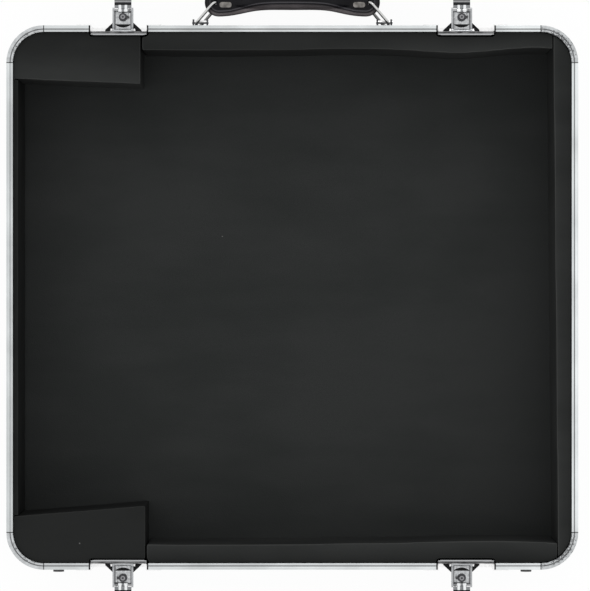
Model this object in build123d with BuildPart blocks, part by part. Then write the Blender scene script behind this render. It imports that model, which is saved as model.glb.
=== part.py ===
from build123d import *
import os

# Base of a mixer flight case: board panels in aluminium edge extrusions, a foam lining,
# four open latches and a swinging handle.
# The case lies flat and open, +Z up. The handle is on the front wall, at +Y.
# The origin is under the middle of the case, on the surface that its feet stand on.
# All sizes are in millimetres.

# Case
case_x = 520.0
case_y = 495.0
corner_r = 34.0
foot_h = 6.0
body_h = 105.0
board_t = 4.8
skin_t = 0.6

# Rim extrusion
rim_web_t = 2.0
rim_outer_leg = 22.0
rim_inner_leg = 12.0
groove_w = 1.0
groove_depth = 0.9
groove_inset = 3.0
rim_edge_r = 0.5

# Base extrusion
base_outer_leg = 22.0
base_inner_leg = 16.0
base_edge_r = 1.5

# Corner posts
post_shell_t = 2.0
post_web_t = 1.2
post_leg = 16.0

# Rivets
rivet_r = 1.5
rivet_head_r = 3.0
rivet_head_crown_r = 1.8
rivet_head_h = 1.1
rivet_gap = 0.05
rim_rivet_drop = 15.0
base_rivet_rise = 14.0
base_rivet_inset = 60.0
rim_rivet_inset = 77.5
rim_rivet_clear = 29.5

# Foam
floor_foam_t = 9.4
foam_gap = 0.3
foam_drop = 3.0
front_strip_t = 22.3
back_strip_t = 23.2
right_strip_front_t = 22.7
right_strip_back_t = 18.2
left_lining_t = 4.2
front_block_x = 121.8
front_block_y = 53.2
front_block_flare = 5.0
front_wave = 2.7
front_wave_start = 0.5
front_wave_right = 1.6
front_wave_end = 1.1
back_wave = 2.7
back_wave_start = 1.6
back_wave_end = 1.1
strip_seam = 1.2
back_block_x = 126.1
back_block_y = 48.0
back_block_flare = 10.0

# Rubber feet
foot_r = 10.0
foot_tip_r = 8.5
foot_inset = 38.0
foot_recess_depth = 3.2
standing_foot_r = 5.0
standing_foot_reach = 4.6
standing_foot_inset = 45.0
standing_foot_low = 28.5
standing_foot_high = 64.5
screw_r = 1.6
screw_head_r = 3.6
screw_head_h = 2.0
screw_head_gap = 0.3
screw_length = 6.5
standing_screw_length = 6.1
slot_l = 5.4
slot_w = 0.8
slot_depth = 0.9

# Latch pans
latch_inset = 102.0
pan_w = 51.4
pan_depth = 8.8
pan_h = 43.5
pan_drop = 0.5
pan_t = 0.8
pan_corner_r = 3.5
pan_hem_at = 5.5
pan_hem_t = 0.8
pan_hem_h = 7.5
pan_groove_depth = 4.0
pan_flange_w = 77.0
pan_flange_below = 7.0
pan_flange_t = 0.9
pan_flange_r = 3.0
pan_fit = 1.0
pan_cut_gap = 1.0
pan_rivet_x = 32.5
pan_rivet_low = 3.5

# Latch levers
lever_shift = 2.7
pivot_in = 3.6
pivot_drop = 28.0
lever_w = 19.0
lever_side_t = 1.6
lever_plate_t = 1.2
lug_r = 3.8
lever_side_rise = 1.6
lever_side_reach = 21.8
lever_plate_reach = 18.3
barrel_r = 2.4
barrel_web = 2.4
crescent_w = 15.0
crescent_h = 3.0
crescent_at = 6.8
hinge_pin_r = 1.5
pin_gap = 0.05
ear_t = 1.4
ear_r = 2.7
ear_gap = 0.3
pin_overhang = 0.4

# Latch stops
stop_gap = 0.2
stop_base_w = 33.0
stop_tip_w = 17.6
stop_shoulder = 1.8
stop_tip = 5.4

# Locks
lock_at = 13.2
lock_body_r = 3.4
lock_nut_r = 3.9
lock_face_r = 3.7
lock_nut_t = 1.8
lock_body_rise = 2.6
lock_face_drop = 0.8
lock_plug_r = 2.2
cam_w = 2.4
cam_t = 1.2
cam_reach = 5.6
cam_gap = 0.3
key_slot_l = 3.3
key_slot_w = 0.7
key_slot_depth = 1.5

# Hooks
hook_at = 19.2
hook_pin_r = 1.2
hook_barrel_r = 1.8
hook_barrel_w = 8.6
hook_gap = 0.3
hook_plate_w = 15.5
hook_plate_t = 2.0
hook_shank_t = 1.5
hook_shank_end = 24.5
hook_rib_w = 3.2
hook_rib_at = 2.7
hook_rib_rise = 1.6
hook_plate_end = 41.6
hook_nose_t = 2.0
hook_nose_rise = 6.0
hook_lip_end = 46.0
hook_lip_drop = 2.0
thumb_ridge_at = 27.6
thumb_ridge_w = 0.8
thumb_ridge_rise = 0.5
heel_reach = 1.2
heel_rise = 1.6

# Hook springs
spring_wire = 0.5
spring_r = 1.9
spring_w = 2.8
spring_leg = 3.4

# Handle
handle_z = 55.0
bracket_x = 85.0
bracket_plate_x = 34.0
bracket_plate_z = 18.0
bracket_plate_t = 1.0
bracket_plate_r = 3.0
bracket_rivet_x = 13.0
bracket_ear_t = 1.6
bracket_ear_r = 2.6
bracket_ear_at = 6.4
bracket_bar_r = 1.7
bar_gap = 0.3
ring_wire_r = 1.4
ring_bend_r = 5.0
ring_reach = 18.5
ring_swing = 40.6
ring_lean = 26.0
grip_lobe_x = 81.0
grip_lobe_t = 5.6
grip_y = 25.2
grip_bow = 3.6
grip_pad_bow = 0.9
grip_lobe_half_w = 13.0
grip_waist_half_w = 10.6
grip_pad_x = 34.0
grip_pad_end_x = 56.0
grip_pad_t = 17.0
grip_pad_r = 6.0
grip_edge_flat = 0.4
grip_pad_end_w = 13.0
grip_pad_end_t = 4.4
grip_seam_w = 1.2
ring_slot_gap = 0.3
end_plate_x = 11.0
end_plate_y = 5.0
end_plate_t = 0.8
end_plate_r = 2.2
end_plate_gap = 0.8
end_plate_shift = 2.1

# Levels and lines that follow
half_x = case_x / 2
half_y = case_y / 2
rim_top = foot_h + body_h
wall_band = board_t + 2 * skin_t
base_slot = board_t + skin_t
board_top = rim_top - rim_web_t
floor_top = foot_h + skin_t + board_t
foam_floor_top = floor_top + floor_foam_t
foam_top = rim_top - foam_drop
foam_inset = wall_band + foam_gap
foam_corner_r = corner_r - foam_inset
standing_foot_x = half_x - standing_foot_inset
pan_top = rim_top - pan_drop
pan_bottom = pan_top - pan_h
latch_x = half_x - latch_inset
lever_x = latch_x - lever_shift
pivot_z = rim_top - pivot_drop
lever_bottom = pivot_z - lug_r
lever_floor = lever_bottom + lever_plate_t
hook_z = lever_floor + hook_gap + hook_barrel_r
hook_v = hook_at - pivot_in
lock_v = lock_at - pivot_in
straight_x = case_x - 2 * corner_r
straight_y = case_y - 2 * corner_r
rivet_cut = 4 * wall_band

# Corners, each with the turn from +X where its quarter circle starts
corners = {0: (1, 1), 90: (-1, 1), 180: (-1, -1), 270: (1, -1)}
latches = {
    "front_left": (-1, 1),
    "front_right": (1, 1),
    "back_left": (-1, -1),
    "back_right": (1, -1),
}


def edge_plane(origin, inward):
    """Cross-section plane of a rail: local x runs inward from its outer face, local y runs up."""
    inward = Vector(*inward)
    return Plane(origin=origin, x_dir=inward, z_dir=inward.cross(Vector(0, 0, 1)))


def corner_plane(turn, z):
    """Cross-section plane at the start of one corner's quarter circle."""
    sx, sy = corners[turn]
    out = Vector(1, 0, 0).rotate(Axis.Z, turn)
    centre = Vector(sx * (half_x - corner_r), sy * (half_y - corner_r), z)
    return edge_plane(centre + out * corner_r, tuple(-out))


def corner_axis(turn):
    """Upright axis through the centre of one corner's quarter circle."""
    sx, sy = corners[turn]
    return Axis((sx * (half_x - corner_r), sy * (half_y - corner_r), 0), (0, 0, 1))


def wall_frame(x, side):
    """Frame on a wall's outer line: local y points outward, local z up."""
    return Plane(origin=(x, side * half_y, 0), x_dir=(side, 0, 0), z_dir=(0, 0, 1))


def upright(frame, x=0.0):
    """Upright plane across a wall frame: local x points outward, local y up."""
    return Plane(origin=frame.from_local_coords(Vector(x, 0, 0)), x_dir=frame.y_dir, z_dir=frame.x_dir)


def facing(frame, x, z, out=0.0):
    """Plane that faces outward from a wall frame, for holes, rivets and screws."""
    return Plane(
        origin=frame.from_local_coords(Vector(x, out, z)), x_dir=-frame.x_dir, z_dir=frame.y_dir
    )


def spread(reach, count):
    """Evenly spaced places from -reach to reach."""
    return [reach * (2 * i / (count - 1) - 1) for i in range(count)]


def latch_frame(tag, x):
    """Wall frame of one latch, at distance x from the middle of the case."""
    sx, side = latches[tag]
    return wall_frame(sx * x, side)


# Rivets
front_frame = wall_frame(0, 1)
back_frame = wall_frame(0, -1)
side_frames = [
    Plane(origin=(sx * half_x, 0, 0), x_dir=(0, -sx, 0), z_dir=(0, 0, 1)) for sx in (-1, 1)
]
rim_rivet_z = rim_top - rim_rivet_drop
base_rivet_z = foot_h + base_rivet_rise
outer_rail_mid = (straight_x / 2 + latch_x + pan_flange_w / 2) / 2
inner_rivet_x = latch_x - pan_flange_w / 2 - rim_rivet_clear
long_rim_x = [-outer_rail_mid, -inner_rivet_x, 0, inner_rivet_x, outer_rail_mid]
long_base_x = spread(half_x - base_rivet_inset, 5)
side_base_y = spread(half_y - base_rivet_inset, 5)
side_rim_y = spread(half_y - rim_rivet_inset, 4)

long_rivets = {
    side: [facing(frame, x, rim_rivet_z) for x in long_rim_x]
    + [facing(frame, x, base_rivet_z) for x in long_base_x]
    for side, frame in ((1, front_frame), (-1, back_frame))
}
side_rivets = {
    sx: [facing(frame, y, rim_rivet_z) for y in side_rim_y]
    + [facing(frame, y, base_rivet_z) for y in side_base_y]
    for sx, frame in zip((-1, 1), side_frames)
}
pan_rivets = {
    tag: [
        facing(latch_frame(tag, latch_x), sx * pan_rivet_x, z, pan_flange_t)
        for sx in (-1, 1)
        for z in (pan_bottom - pan_rivet_low, rim_rivet_z)
    ]
    for tag in latches
}
bracket_rivets = [
    facing(front_frame, sx * bracket_x + dx, handle_z, bracket_plate_t - skin_t)
    for sx in (-1, 1)
    for dx in (-bracket_rivet_x, bracket_rivet_x)
]


def long_wall_holes(side):
    """Every rivet place on the front or back wall."""
    places = list(long_rivets[side])
    for tag, (_, latch_side) in latches.items():
        if latch_side == side:
            places += pan_rivets[tag]
    if side == 1:
        places += bracket_rivets
    return places


# Rim section, with its two lips and the groove between them
with BuildSketch() as rim_section:
    with BuildLine():
        Polyline(
            (0, 0), (groove_inset, 0), (groove_inset, -groove_depth),
            (groove_inset + groove_w, -groove_depth), (groove_inset + groove_w, 0),
            (wall_band, 0), (wall_band, -rim_inner_leg), (wall_band - skin_t, -rim_inner_leg),
            (wall_band - skin_t, -rim_web_t), (skin_t, -rim_web_t), (skin_t, -rim_outer_leg),
            (0, -rim_outer_leg), (0, 0),
        )
    make_face()
    fillet(
        rim_section.vertices().group_by(Axis.Y)[-1].filter_by(
            lambda v: v.X < rim_edge_r or v.X > wall_band - rim_edge_r
        ),
        rim_edge_r,
    )

# Base section, with an upright slot for the wall and a level slot for the floor
with BuildSketch() as base_section:
    with BuildLine():
        Polyline(
            (0, 0), (base_outer_leg, 0), (base_outer_leg, skin_t), (wall_band, skin_t),
            (wall_band, base_slot), (base_inner_leg, base_slot), (base_inner_leg, wall_band),
            (wall_band, wall_band), (wall_band, base_inner_leg), (base_slot, base_inner_leg),
            (base_slot, wall_band), (skin_t, wall_band), (skin_t, base_outer_leg),
            (0, base_outer_leg), (0, 0),
        )
    make_face()
    with Locations((skin_t, skin_t)):
        Rectangle(board_t, board_t, align=(Align.MIN, Align.MIN), mode=Mode.SUBTRACT)
    fillet(base_section.vertices().sort_by_distance((0, 0))[0], base_edge_r)

# Base corner section
with BuildSketch() as base_corner_section:
    with BuildLine():
        Polyline(
            (0, 0), (base_outer_leg, 0), (base_outer_leg, skin_t), (skin_t, skin_t),
            (skin_t, base_outer_leg), (0, base_outer_leg), (0, 0),
        )
    make_face()
    fillet(base_corner_section.vertices().sort_by_distance((0, 0))[0], base_edge_r)
    fillet(base_corner_section.vertices().sort_by_distance((skin_t, skin_t))[0], base_edge_r - skin_t)

os.makedirs("parts", exist_ok=True)

# Floor panel
with BuildPart() as floor_panel:
    with BuildSketch(Plane.XY.offset(foot_h + skin_t)):
        RectangleRounded(case_x - 2 * wall_band, case_y - 2 * wall_band, corner_r - wall_band)
    extrude(amount=board_t)
    with Locations(
        *[
            Plane(origin=(sx * (half_x - foot_inset), sy * (half_y - foot_inset), foot_h + skin_t))
            for sx, sy in corners.values()
        ]
    ):
        Cylinder(
            screw_r + rivet_gap, screw_length - foot_h + foot_recess_depth - skin_t,
            align=(Align.CENTER, Align.CENTER, Align.MIN), mode=Mode.SUBTRACT,
        )
floor_panel.part.label = "floor_panel"
export_step(floor_panel.part, "parts/floor_panel.step")

# Front and back walls, with a cut-out for each latch pan
wall_bottom = foot_h + wall_band
standing_frames = [
    facing(back_frame, x, foot_h + z)
    for x in (-standing_foot_x, standing_foot_x)
    for z in (standing_foot_low, standing_foot_high)
]
standing_hole = standing_screw_length - standing_foot_reach + foot_recess_depth
for side, wall_name in ((1, "front_wall"), (-1, "back_wall")):
    frame = wall_frame(0, side)
    with BuildPart() as long_wall:
        with BuildSketch(upright(frame)):
            with Locations((-skin_t, wall_bottom)):
                Rectangle(board_t, board_top - wall_bottom, align=(Align.MAX, Align.MIN))
        extrude(amount=straight_x / 2, both=True)
        with BuildSketch(facing(frame, 0, 0)):
            with Locations((-latch_x, board_top), (latch_x, board_top)):
                Rectangle(
                    pan_w + 2 * pan_cut_gap, board_top - pan_bottom + pan_cut_gap,
                    align=(Align.CENTER, Align.MAX),
                )
        extrude(amount=-(wall_band + pan_depth), mode=Mode.SUBTRACT)
        with Locations(*long_wall_holes(side)):
            Cylinder(rivet_r + rivet_gap, rivet_cut, mode=Mode.SUBTRACT)
        if side == -1:
            with Locations(*standing_frames):
                Cylinder(screw_r + rivet_gap, 2 * standing_hole, mode=Mode.SUBTRACT)
    long_wall.part.label = wall_name
    export_step(long_wall.part, f"parts/{wall_name}.step")

# Left and right walls
for sx, wall_name, frame in ((-1, "left_wall", side_frames[0]), (1, "right_wall", side_frames[1])):
    with BuildPart() as side_wall:
        with BuildSketch(upright(frame)):
            with Locations((-skin_t, wall_bottom)):
                Rectangle(board_t, board_top - wall_bottom, align=(Align.MAX, Align.MIN))
        extrude(amount=straight_y / 2, both=True)
        with Locations(*side_rivets[sx]):
            Cylinder(rivet_r + rivet_gap, rivet_cut, mode=Mode.SUBTRACT)
    side_wall.part.label = wall_name
    export_step(side_wall.part, f"parts/{wall_name}.step")

# Corner posts: a quarter-round shell with a slot at each end for a wall panel
post_bottom = foot_h + base_outer_leg
post_top = rim_top - rim_outer_leg
with BuildPart() as corner_posts:
    for turn, (sx, sy) in corners.items():
        centre = (sx * (half_x - corner_r), sy * (half_y - corner_r))
        with BuildSketch(Plane(origin=(*centre, post_bottom), x_dir=(sx, 0, 0), z_dir=(0, 0, sx * sy))):
            Circle(corner_r)
            Circle(corner_r - post_shell_t, mode=Mode.SUBTRACT)
            Rectangle(corner_r, corner_r, align=(Align.MIN, Align.MIN), mode=Mode.INTERSECT)
            with Locations((corner_r, 0)):
                Rectangle(wall_band, post_web_t, align=(Align.MAX, Align.MIN))
                Rectangle(skin_t, post_leg, align=(Align.MAX, Align.MAX))
            with Locations((corner_r - wall_band, 0)):
                Rectangle(skin_t, post_leg, align=(Align.MIN, Align.MAX))
            with Locations((0, corner_r)):
                Rectangle(post_web_t, wall_band, align=(Align.MIN, Align.MAX))
                Rectangle(post_leg, skin_t, align=(Align.MAX, Align.MAX))
            with Locations((0, corner_r - wall_band)):
                Rectangle(post_leg, skin_t, align=(Align.MAX, Align.MIN))
            Circle(corner_r - wall_band, mode=Mode.SUBTRACT)
        extrude(amount=(post_top - post_bottom) * sx * sy)
    with Locations(*standing_frames):
        Cylinder(screw_r + rivet_gap, 2 * standing_hole, mode=Mode.SUBTRACT)
corner_posts.part.label = "corner_posts"
export_step(corner_posts.part, "parts/corner_posts.step")

# Rim rails on the left and right
for sx, rail_name in ((-1, "rim_rail_left"), (1, "rim_rail_right")):
    with BuildPart() as side_rail:
        with BuildSketch(edge_plane((sx * half_x, 0, rim_top), (-sx, 0, 0))):
            add(rim_section.sketch)
        extrude(amount=straight_y / 2, both=True)
        with Locations(*side_rivets[sx]):
            Cylinder(rivet_r + rivet_gap, rivet_cut, mode=Mode.SUBTRACT)
    side_rail.part.label = rail_name
    export_step(side_rail.part, f"parts/{rail_name}.step")

# Rim rails on the front and back, in three lengths between the corners and the latch pans
pan_gap_half = pan_w / 2 + pan_fit
centre_rail = 2 * (latch_x - pan_gap_half)
outer_rail = straight_x / 2 - latch_x - pan_gap_half
outer_rail_x = straight_x / 2 - outer_rail / 2
for side, rail_name in ((1, "rim_rails_front"), (-1, "rim_rails_back")):
    with BuildPart() as long_rails:
        for x, length in ((-outer_rail_x, outer_rail), (0, centre_rail), (outer_rail_x, outer_rail)):
            with BuildSketch(edge_plane((x, side * half_y, rim_top), (0, -side, 0))):
                add(rim_section.sketch)
            extrude(amount=length / 2, both=True)
        with Locations(*long_wall_holes(side)):
            Cylinder(rivet_r + rivet_gap, rivet_cut, mode=Mode.SUBTRACT)
    long_rails.part.label = rail_name
    export_step(long_rails.part, f"parts/{rail_name}.step")

# Rim corners, bent from the same section
with BuildPart() as rim_corners:
    for turn in corners:
        with BuildSketch(corner_plane(turn, rim_top)):
            add(rim_section.sketch)
        revolve(axis=corner_axis(turn), revolution_arc=90)
rim_corners.part.label = "rim_corners"
export_step(rim_corners.part, "parts/rim_corners.step")

# Base rails
with BuildPart() as base_rails:
    for side in (1, -1):
        with BuildSketch(edge_plane((0, side * half_y, foot_h), (0, -side, 0))):
            add(base_section.sketch)
        extrude(amount=straight_x / 2, both=True)
    for sx in (1, -1):
        with BuildSketch(edge_plane((sx * half_x, 0, foot_h), (-sx, 0, 0))):
            add(base_section.sketch)
        extrude(amount=straight_y / 2, both=True)
    with Locations(*long_rivets[1], *long_rivets[-1], *side_rivets[1], *side_rivets[-1]):
        Cylinder(rivet_r + rivet_gap, rivet_cut, mode=Mode.SUBTRACT)
base_rails.part.label = "base_rails"
export_step(base_rails.part, "parts/base_rails.step")

# Base corners
with BuildPart() as base_corners:
    for turn in corners:
        with BuildSketch(corner_plane(turn, foot_h)):
            add(base_corner_section.sketch)
        revolve(axis=corner_axis(turn), revolution_arc=90)
base_corners.part.label = "base_corners"
export_step(base_corners.part, "parts/base_corners.step")


def rivet_set(places, grip):
    """Rivets with their heads outside each place and shanks that reach grip inward."""
    with Locations(*places):
        Cone(
            rivet_head_r, rivet_head_crown_r, rivet_head_h,
            align=(Align.CENTER, Align.CENTER, Align.MIN),
        )
        Cylinder(rivet_r, grip, align=(Align.CENTER, Align.CENTER, Align.MAX))


with BuildPart() as rivets:
    rivet_set([place for side in (1, -1) for place in long_rivets[side]], wall_band)
    rivet_set([place for side in (1, -1) for place in side_rivets[side]], wall_band)
    rivet_set([place for tag in latches for place in pan_rivets[tag]], base_slot + pan_flange_t)
    rivet_set(bracket_rivets, board_t + bracket_plate_t)
rivets.part.label = "rivets"
export_step(rivets.part, "parts/rivets.step")

# Feet
underside_planes = [
    Plane(origin=(sx * (half_x - foot_inset), sy * (half_y - foot_inset), foot_h + skin_t), z_dir=(0, 0, -1))
    for sx, sy in corners.values()
]
underside_foot_h = foot_h + skin_t
with BuildPart() as underside_feet:
    with Locations(*underside_planes):
        Cone(foot_r, foot_tip_r, underside_foot_h, align=(Align.CENTER, Align.CENTER, Align.MIN))
        Cylinder(
            screw_r + rivet_gap, underside_foot_h,
            align=(Align.CENTER, Align.CENTER, Align.MIN), mode=Mode.SUBTRACT,
        )
    with Locations(*[plane.offset(underside_foot_h) for plane in underside_planes]):
        Cylinder(
            screw_head_r + screw_head_gap, foot_recess_depth,
            align=(Align.CENTER, Align.CENTER, Align.MAX), mode=Mode.SUBTRACT,
        )
underside_feet.part.label = "underside_feet"
export_step(underside_feet.part, "parts/underside_feet.step")

with BuildPart() as standing_feet:
    with Locations(*standing_frames):
        Cylinder(standing_foot_r, standing_foot_reach, align=(Align.CENTER, Align.CENTER, Align.MIN))
        Cylinder(
            screw_r + rivet_gap, standing_foot_reach,
            align=(Align.CENTER, Align.CENTER, Align.MIN), mode=Mode.SUBTRACT,
        )
    with Locations(*[plane.offset(standing_foot_reach) for plane in standing_frames]):
        Cylinder(
            screw_head_r + screw_head_gap, foot_recess_depth,
            align=(Align.CENTER, Align.CENTER, Align.MAX), mode=Mode.SUBTRACT,
        )
standing_feet.part.label = "standing_feet"
export_step(standing_feet.part, "parts/standing_feet.step")


def screw_set(places, length):
    """Screws with the head's underside on each place and the shank reaching inward."""
    with Locations(*places):
        Cylinder(screw_head_r, screw_head_h, align=(Align.CENTER, Align.CENTER, Align.MIN))
        Cylinder(screw_r, length, align=(Align.CENTER, Align.CENTER, Align.MAX))
    with Locations(*[place.offset(screw_head_h) for place in places]):
        Box(
            slot_l, slot_w, slot_depth,
            align=(Align.CENTER, Align.CENTER, Align.MAX), mode=Mode.SUBTRACT,
        )
        Box(
            slot_w, slot_l, slot_depth,
            align=(Align.CENTER, Align.CENTER, Align.MAX), mode=Mode.SUBTRACT,
        )


with BuildPart() as foot_screws:
    screw_set(
        [plane.offset(underside_foot_h - foot_recess_depth) for plane in underside_planes], screw_length
    )
    screw_set(
        [plane.offset(standing_foot_reach - foot_recess_depth) for plane in standing_frames],
        standing_screw_length,
    )
foot_screws.part.label = "foot_screws"
export_step(foot_screws.part, "parts/foot_screws.step")


def foam_room():
    """Plan of the space inside the rim, in which every foam piece lies."""
    RectangleRounded(case_x - 2 * foam_inset, case_y - 2 * foam_inset, foam_corner_r)


def cut_pan_reliefs(side):
    """Room behind the latch pans on one side of the case."""
    frames = [latch_frame(tag, latch_x) for tag, (_, latch_side) in latches.items() if latch_side == side]
    with BuildSketch(*[facing(frame, 0, 0) for frame in frames]) as relief:
        with Locations((0, pan_bottom - pan_cut_gap)):
            Rectangle(pan_w + 2 * pan_cut_gap, rim_top - pan_bottom, align=(Align.CENTER, Align.MIN))
    extrude(relief.sketch, amount=-(pan_depth + pan_cut_gap), mode=Mode.SUBTRACT)


# Foam floor, let in between the inner flanges of the base rails
with BuildPart() as floor_foam:
    with BuildSketch(Plane.XY.offset(floor_top)):
        Rectangle(case_x - 2 * base_inner_leg, case_y - 2 * base_inner_leg)
        RectangleRounded(
            case_x - 2 * foam_inset, case_y - 2 * foam_inset, foam_corner_r, mode=Mode.INTERSECT
        )
    extrude(amount=skin_t)
    with BuildSketch(Plane.XY.offset(floor_top + skin_t)):
        foam_room()
    extrude(amount=floor_foam_t - skin_t)
floor_foam.part.label = "floor_foam"
export_step(floor_foam.part, "parts/floor_foam.step")

front_block_edge = -half_x + front_block_x
back_block_edge = -half_x + back_block_x
foam_wall_h = foam_top - foam_floor_top

# Front foam strip, with the wave that its inner edge has taken
front_strip_start = front_block_edge + strip_seam
front_strip_end = half_x - right_strip_front_t - foam_gap
with BuildPart() as front_foam_strip:
    with BuildSketch(Plane.XY.offset(foam_floor_top)):
        foam_room()
        with BuildLine():
            inner = Spline(
                (front_strip_start, half_y - front_strip_t),
                (0, half_y - front_strip_t),
                (latch_x - pan_w, half_y - front_strip_t - front_wave_start),
                (latch_x, half_y - front_strip_t - front_wave),
                (latch_x + pan_w, half_y - front_strip_t + front_wave_right),
                (front_strip_end, half_y - front_strip_t + front_wave_end),
            )
            Polyline(inner @ 1, (front_strip_end, half_y), (front_strip_start, half_y), inner @ 0)
        make_face(mode=Mode.INTERSECT)
    extrude(amount=foam_wall_h)
    cut_pan_reliefs(1)
front_foam_strip.part.label = "front_foam_strip"
export_step(front_foam_strip.part, "parts/front_foam_strip.step")

# Back foam strip
back_strip_start = back_block_edge + strip_seam
back_strip_end = half_x - right_strip_back_t - foam_gap
with BuildPart() as back_foam_strip:
    with BuildSketch(Plane.XY.offset(foam_floor_top)):
        foam_room()
        with BuildLine():
            inner = Spline(
                (back_strip_start, -half_y + back_strip_t),
                (0, -half_y + back_strip_t),
                (latch_x - pan_w, -half_y + back_strip_t + back_wave_start),
                (latch_x + pan_w, -half_y + back_strip_t + back_wave),
                (back_strip_end, -half_y + back_strip_t + back_wave_end),
            )
            Polyline(inner @ 1, (back_strip_end, -half_y), (back_strip_start, -half_y), inner @ 0)
        make_face(mode=Mode.INTERSECT)
    extrude(amount=foam_wall_h)
    cut_pan_reliefs(-1)
back_foam_strip.part.label = "back_foam_strip"
export_step(back_foam_strip.part, "parts/back_foam_strip.step")

# Right foam strip, the full depth of the case and a little thinner at the back
with BuildPart() as right_foam_strip:
    with BuildSketch(Plane.XY.offset(foam_floor_top)):
        foam_room()
        with BuildLine():
            Polyline(
                (half_x, half_y), (half_x - right_strip_front_t, half_y),
                (half_x - right_strip_back_t, -half_y), (half_x, -half_y), (half_x, half_y),
            )
        make_face(mode=Mode.INTERSECT)
    extrude(amount=foam_wall_h)
right_foam_strip.part.label = "right_foam_strip"
export_step(right_foam_strip.part, "parts/right_foam_strip.step")

# Thin left lining between the two blocks
with BuildPart() as left_foam_lining:
    with BuildSketch(Plane.XY.offset(foam_floor_top)):
        with BuildLine():
            left_face = -half_x + foam_inset
            lining_reach = foam_inset + left_lining_t
            front_end = (
                half_y - front_block_y + front_block_flare * (1 - lining_reach / front_block_x) - foam_gap
            )
            back_end = (
                -half_y + back_block_y + back_block_flare * lining_reach / back_block_x + foam_gap
            )
            Polyline(
                (left_face, back_end), (left_face + left_lining_t, back_end),
                (left_face + left_lining_t, front_end), (left_face, front_end), (left_face, back_end),
            )
        make_face()
    extrude(amount=foam_wall_h)
left_foam_lining.part.label = "left_foam_lining"
export_step(left_foam_lining.part, "parts/left_foam_lining.step")

# Foam blocks in the two left corners, each cut a little askew
with BuildPart() as front_left_foam_block:
    with BuildSketch(Plane.XY.offset(foam_floor_top)):
        foam_room()
        with BuildLine():
            Polyline(
                (-half_x, half_y), (-half_x, half_y - front_block_y + front_block_flare),
                (front_block_edge, half_y - front_block_y), (front_block_edge, half_y),
                (-half_x, half_y),
            )
        make_face(mode=Mode.INTERSECT)
    extrude(amount=foam_wall_h)
    cut_pan_reliefs(1)
front_left_foam_block.part.label = "front_left_foam_block"
export_step(front_left_foam_block.part, "parts/front_left_foam_block.step")

with BuildPart() as back_left_foam_block:
    with BuildSketch(Plane.XY.offset(foam_floor_top)):
        foam_room()
        with BuildLine():
            Polyline(
                (-half_x, -half_y), (-half_x, -half_y + back_block_y),
                (back_block_edge, -half_y + back_block_y + back_block_flare),
                (back_block_edge, -half_y), (-half_x, -half_y),
            )
        make_face(mode=Mode.INTERSECT)
    extrude(amount=foam_wall_h)
    cut_pan_reliefs(-1)
back_left_foam_block.part.label = "back_left_foam_block"
export_step(back_left_foam_block.part, "parts/back_left_foam_block.step")

# Handle brackets, each with two ears for the cross bar that its ring turns on
plate_face = bracket_plate_t - skin_t
bar_out = plate_face + bar_gap + ring_bend_r + ring_wire_r
bracket_sides = (-1, 1)
with BuildPart() as handle_brackets:
    with BuildSketch(*[facing(front_frame, s * bracket_x, handle_z, -skin_t) for s in bracket_sides]):
        RectangleRounded(bracket_plate_x, bracket_plate_z, bracket_plate_r)
    extrude(amount=bracket_plate_t)
    with BuildSketch(
        *[
            upright(front_frame, s * bracket_x + e * bracket_ear_at)
            for s in bracket_sides
            for e in (-1, 1)
        ]
    ):
        with Locations((bar_out, handle_z)):
            Circle(bracket_ear_r)
            Rectangle(bar_out - plate_face, 2 * bracket_ear_r, align=(Align.MAX, Align.CENTER))
            Circle(bracket_bar_r + pin_gap, mode=Mode.SUBTRACT)
    extrude(amount=bracket_ear_t / 2, both=True)
    with Locations(*bracket_rivets):
        Cylinder(rivet_r + rivet_gap, rivet_cut, mode=Mode.SUBTRACT)
handle_brackets.part.label = "handle_brackets"
export_step(handle_brackets.part, "parts/handle_brackets.step")

with BuildPart() as handle_bracket_bars:
    with BuildSketch(*[upright(front_frame, s * bracket_x) for s in bracket_sides]):
        with Locations((bar_out, handle_z)):
            Circle(bracket_bar_r)
    extrude(amount=bracket_ear_at + bracket_ear_t / 2 + pin_overhang, both=True)
handle_bracket_bars.part.label = "handle_bracket_bars"
export_step(handle_bracket_bars.part, "parts/handle_bracket_bars.step")

# Wire rings, which lean outward from the brackets to the grip
handle_start = front_frame.from_local_coords(Vector(0, bar_out, handle_z))
ring_way = Vector(0, 1, 0).rotate(Axis.Z, -ring_swing)


def ring_tube(s, wire_r, mode=Mode.ADD):
    """Round wire along one ring's loop. A thicker one cuts the ring's slot in the grip."""
    way = Vector(-s * ring_way.X, ring_way.Y, 0)
    lean = Vector(0, 0, 1).rotate(Axis((0, 0, 0), tuple(way)), s * ring_lean)
    ring_plane = Plane(
        origin=handle_start + Vector(s * bracket_x, 0, 0), x_dir=way, z_dir=way.cross(lean)
    )
    with BuildLine(ring_plane) as loop:
        top = Line((0, ring_bend_r), (ring_reach, ring_bend_r))
        ThreePointArc(top @ 1, (ring_reach + ring_bend_r, 0), (ring_reach, -ring_bend_r))
        bottom = Line((ring_reach, -ring_bend_r), (0, -ring_bend_r))
        ThreePointArc(bottom @ 1, (-ring_bend_r, 0), top @ 0)
    with BuildSketch(Plane(origin=top @ 0, z_dir=way)) as wire:
        Circle(wire_r)
    sweep(sections=wire.sketch, path=loop.wire(), mode=mode)


for s, ring_name in ((-1, "handle_ring_left"), (1, "handle_ring_right")):
    with BuildPart() as handle_ring:
        ring_tube(s, ring_wire_r)
    handle_ring.part.label = ring_name
    export_step(handle_ring.part, f"parts/{ring_name}.step")

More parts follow.
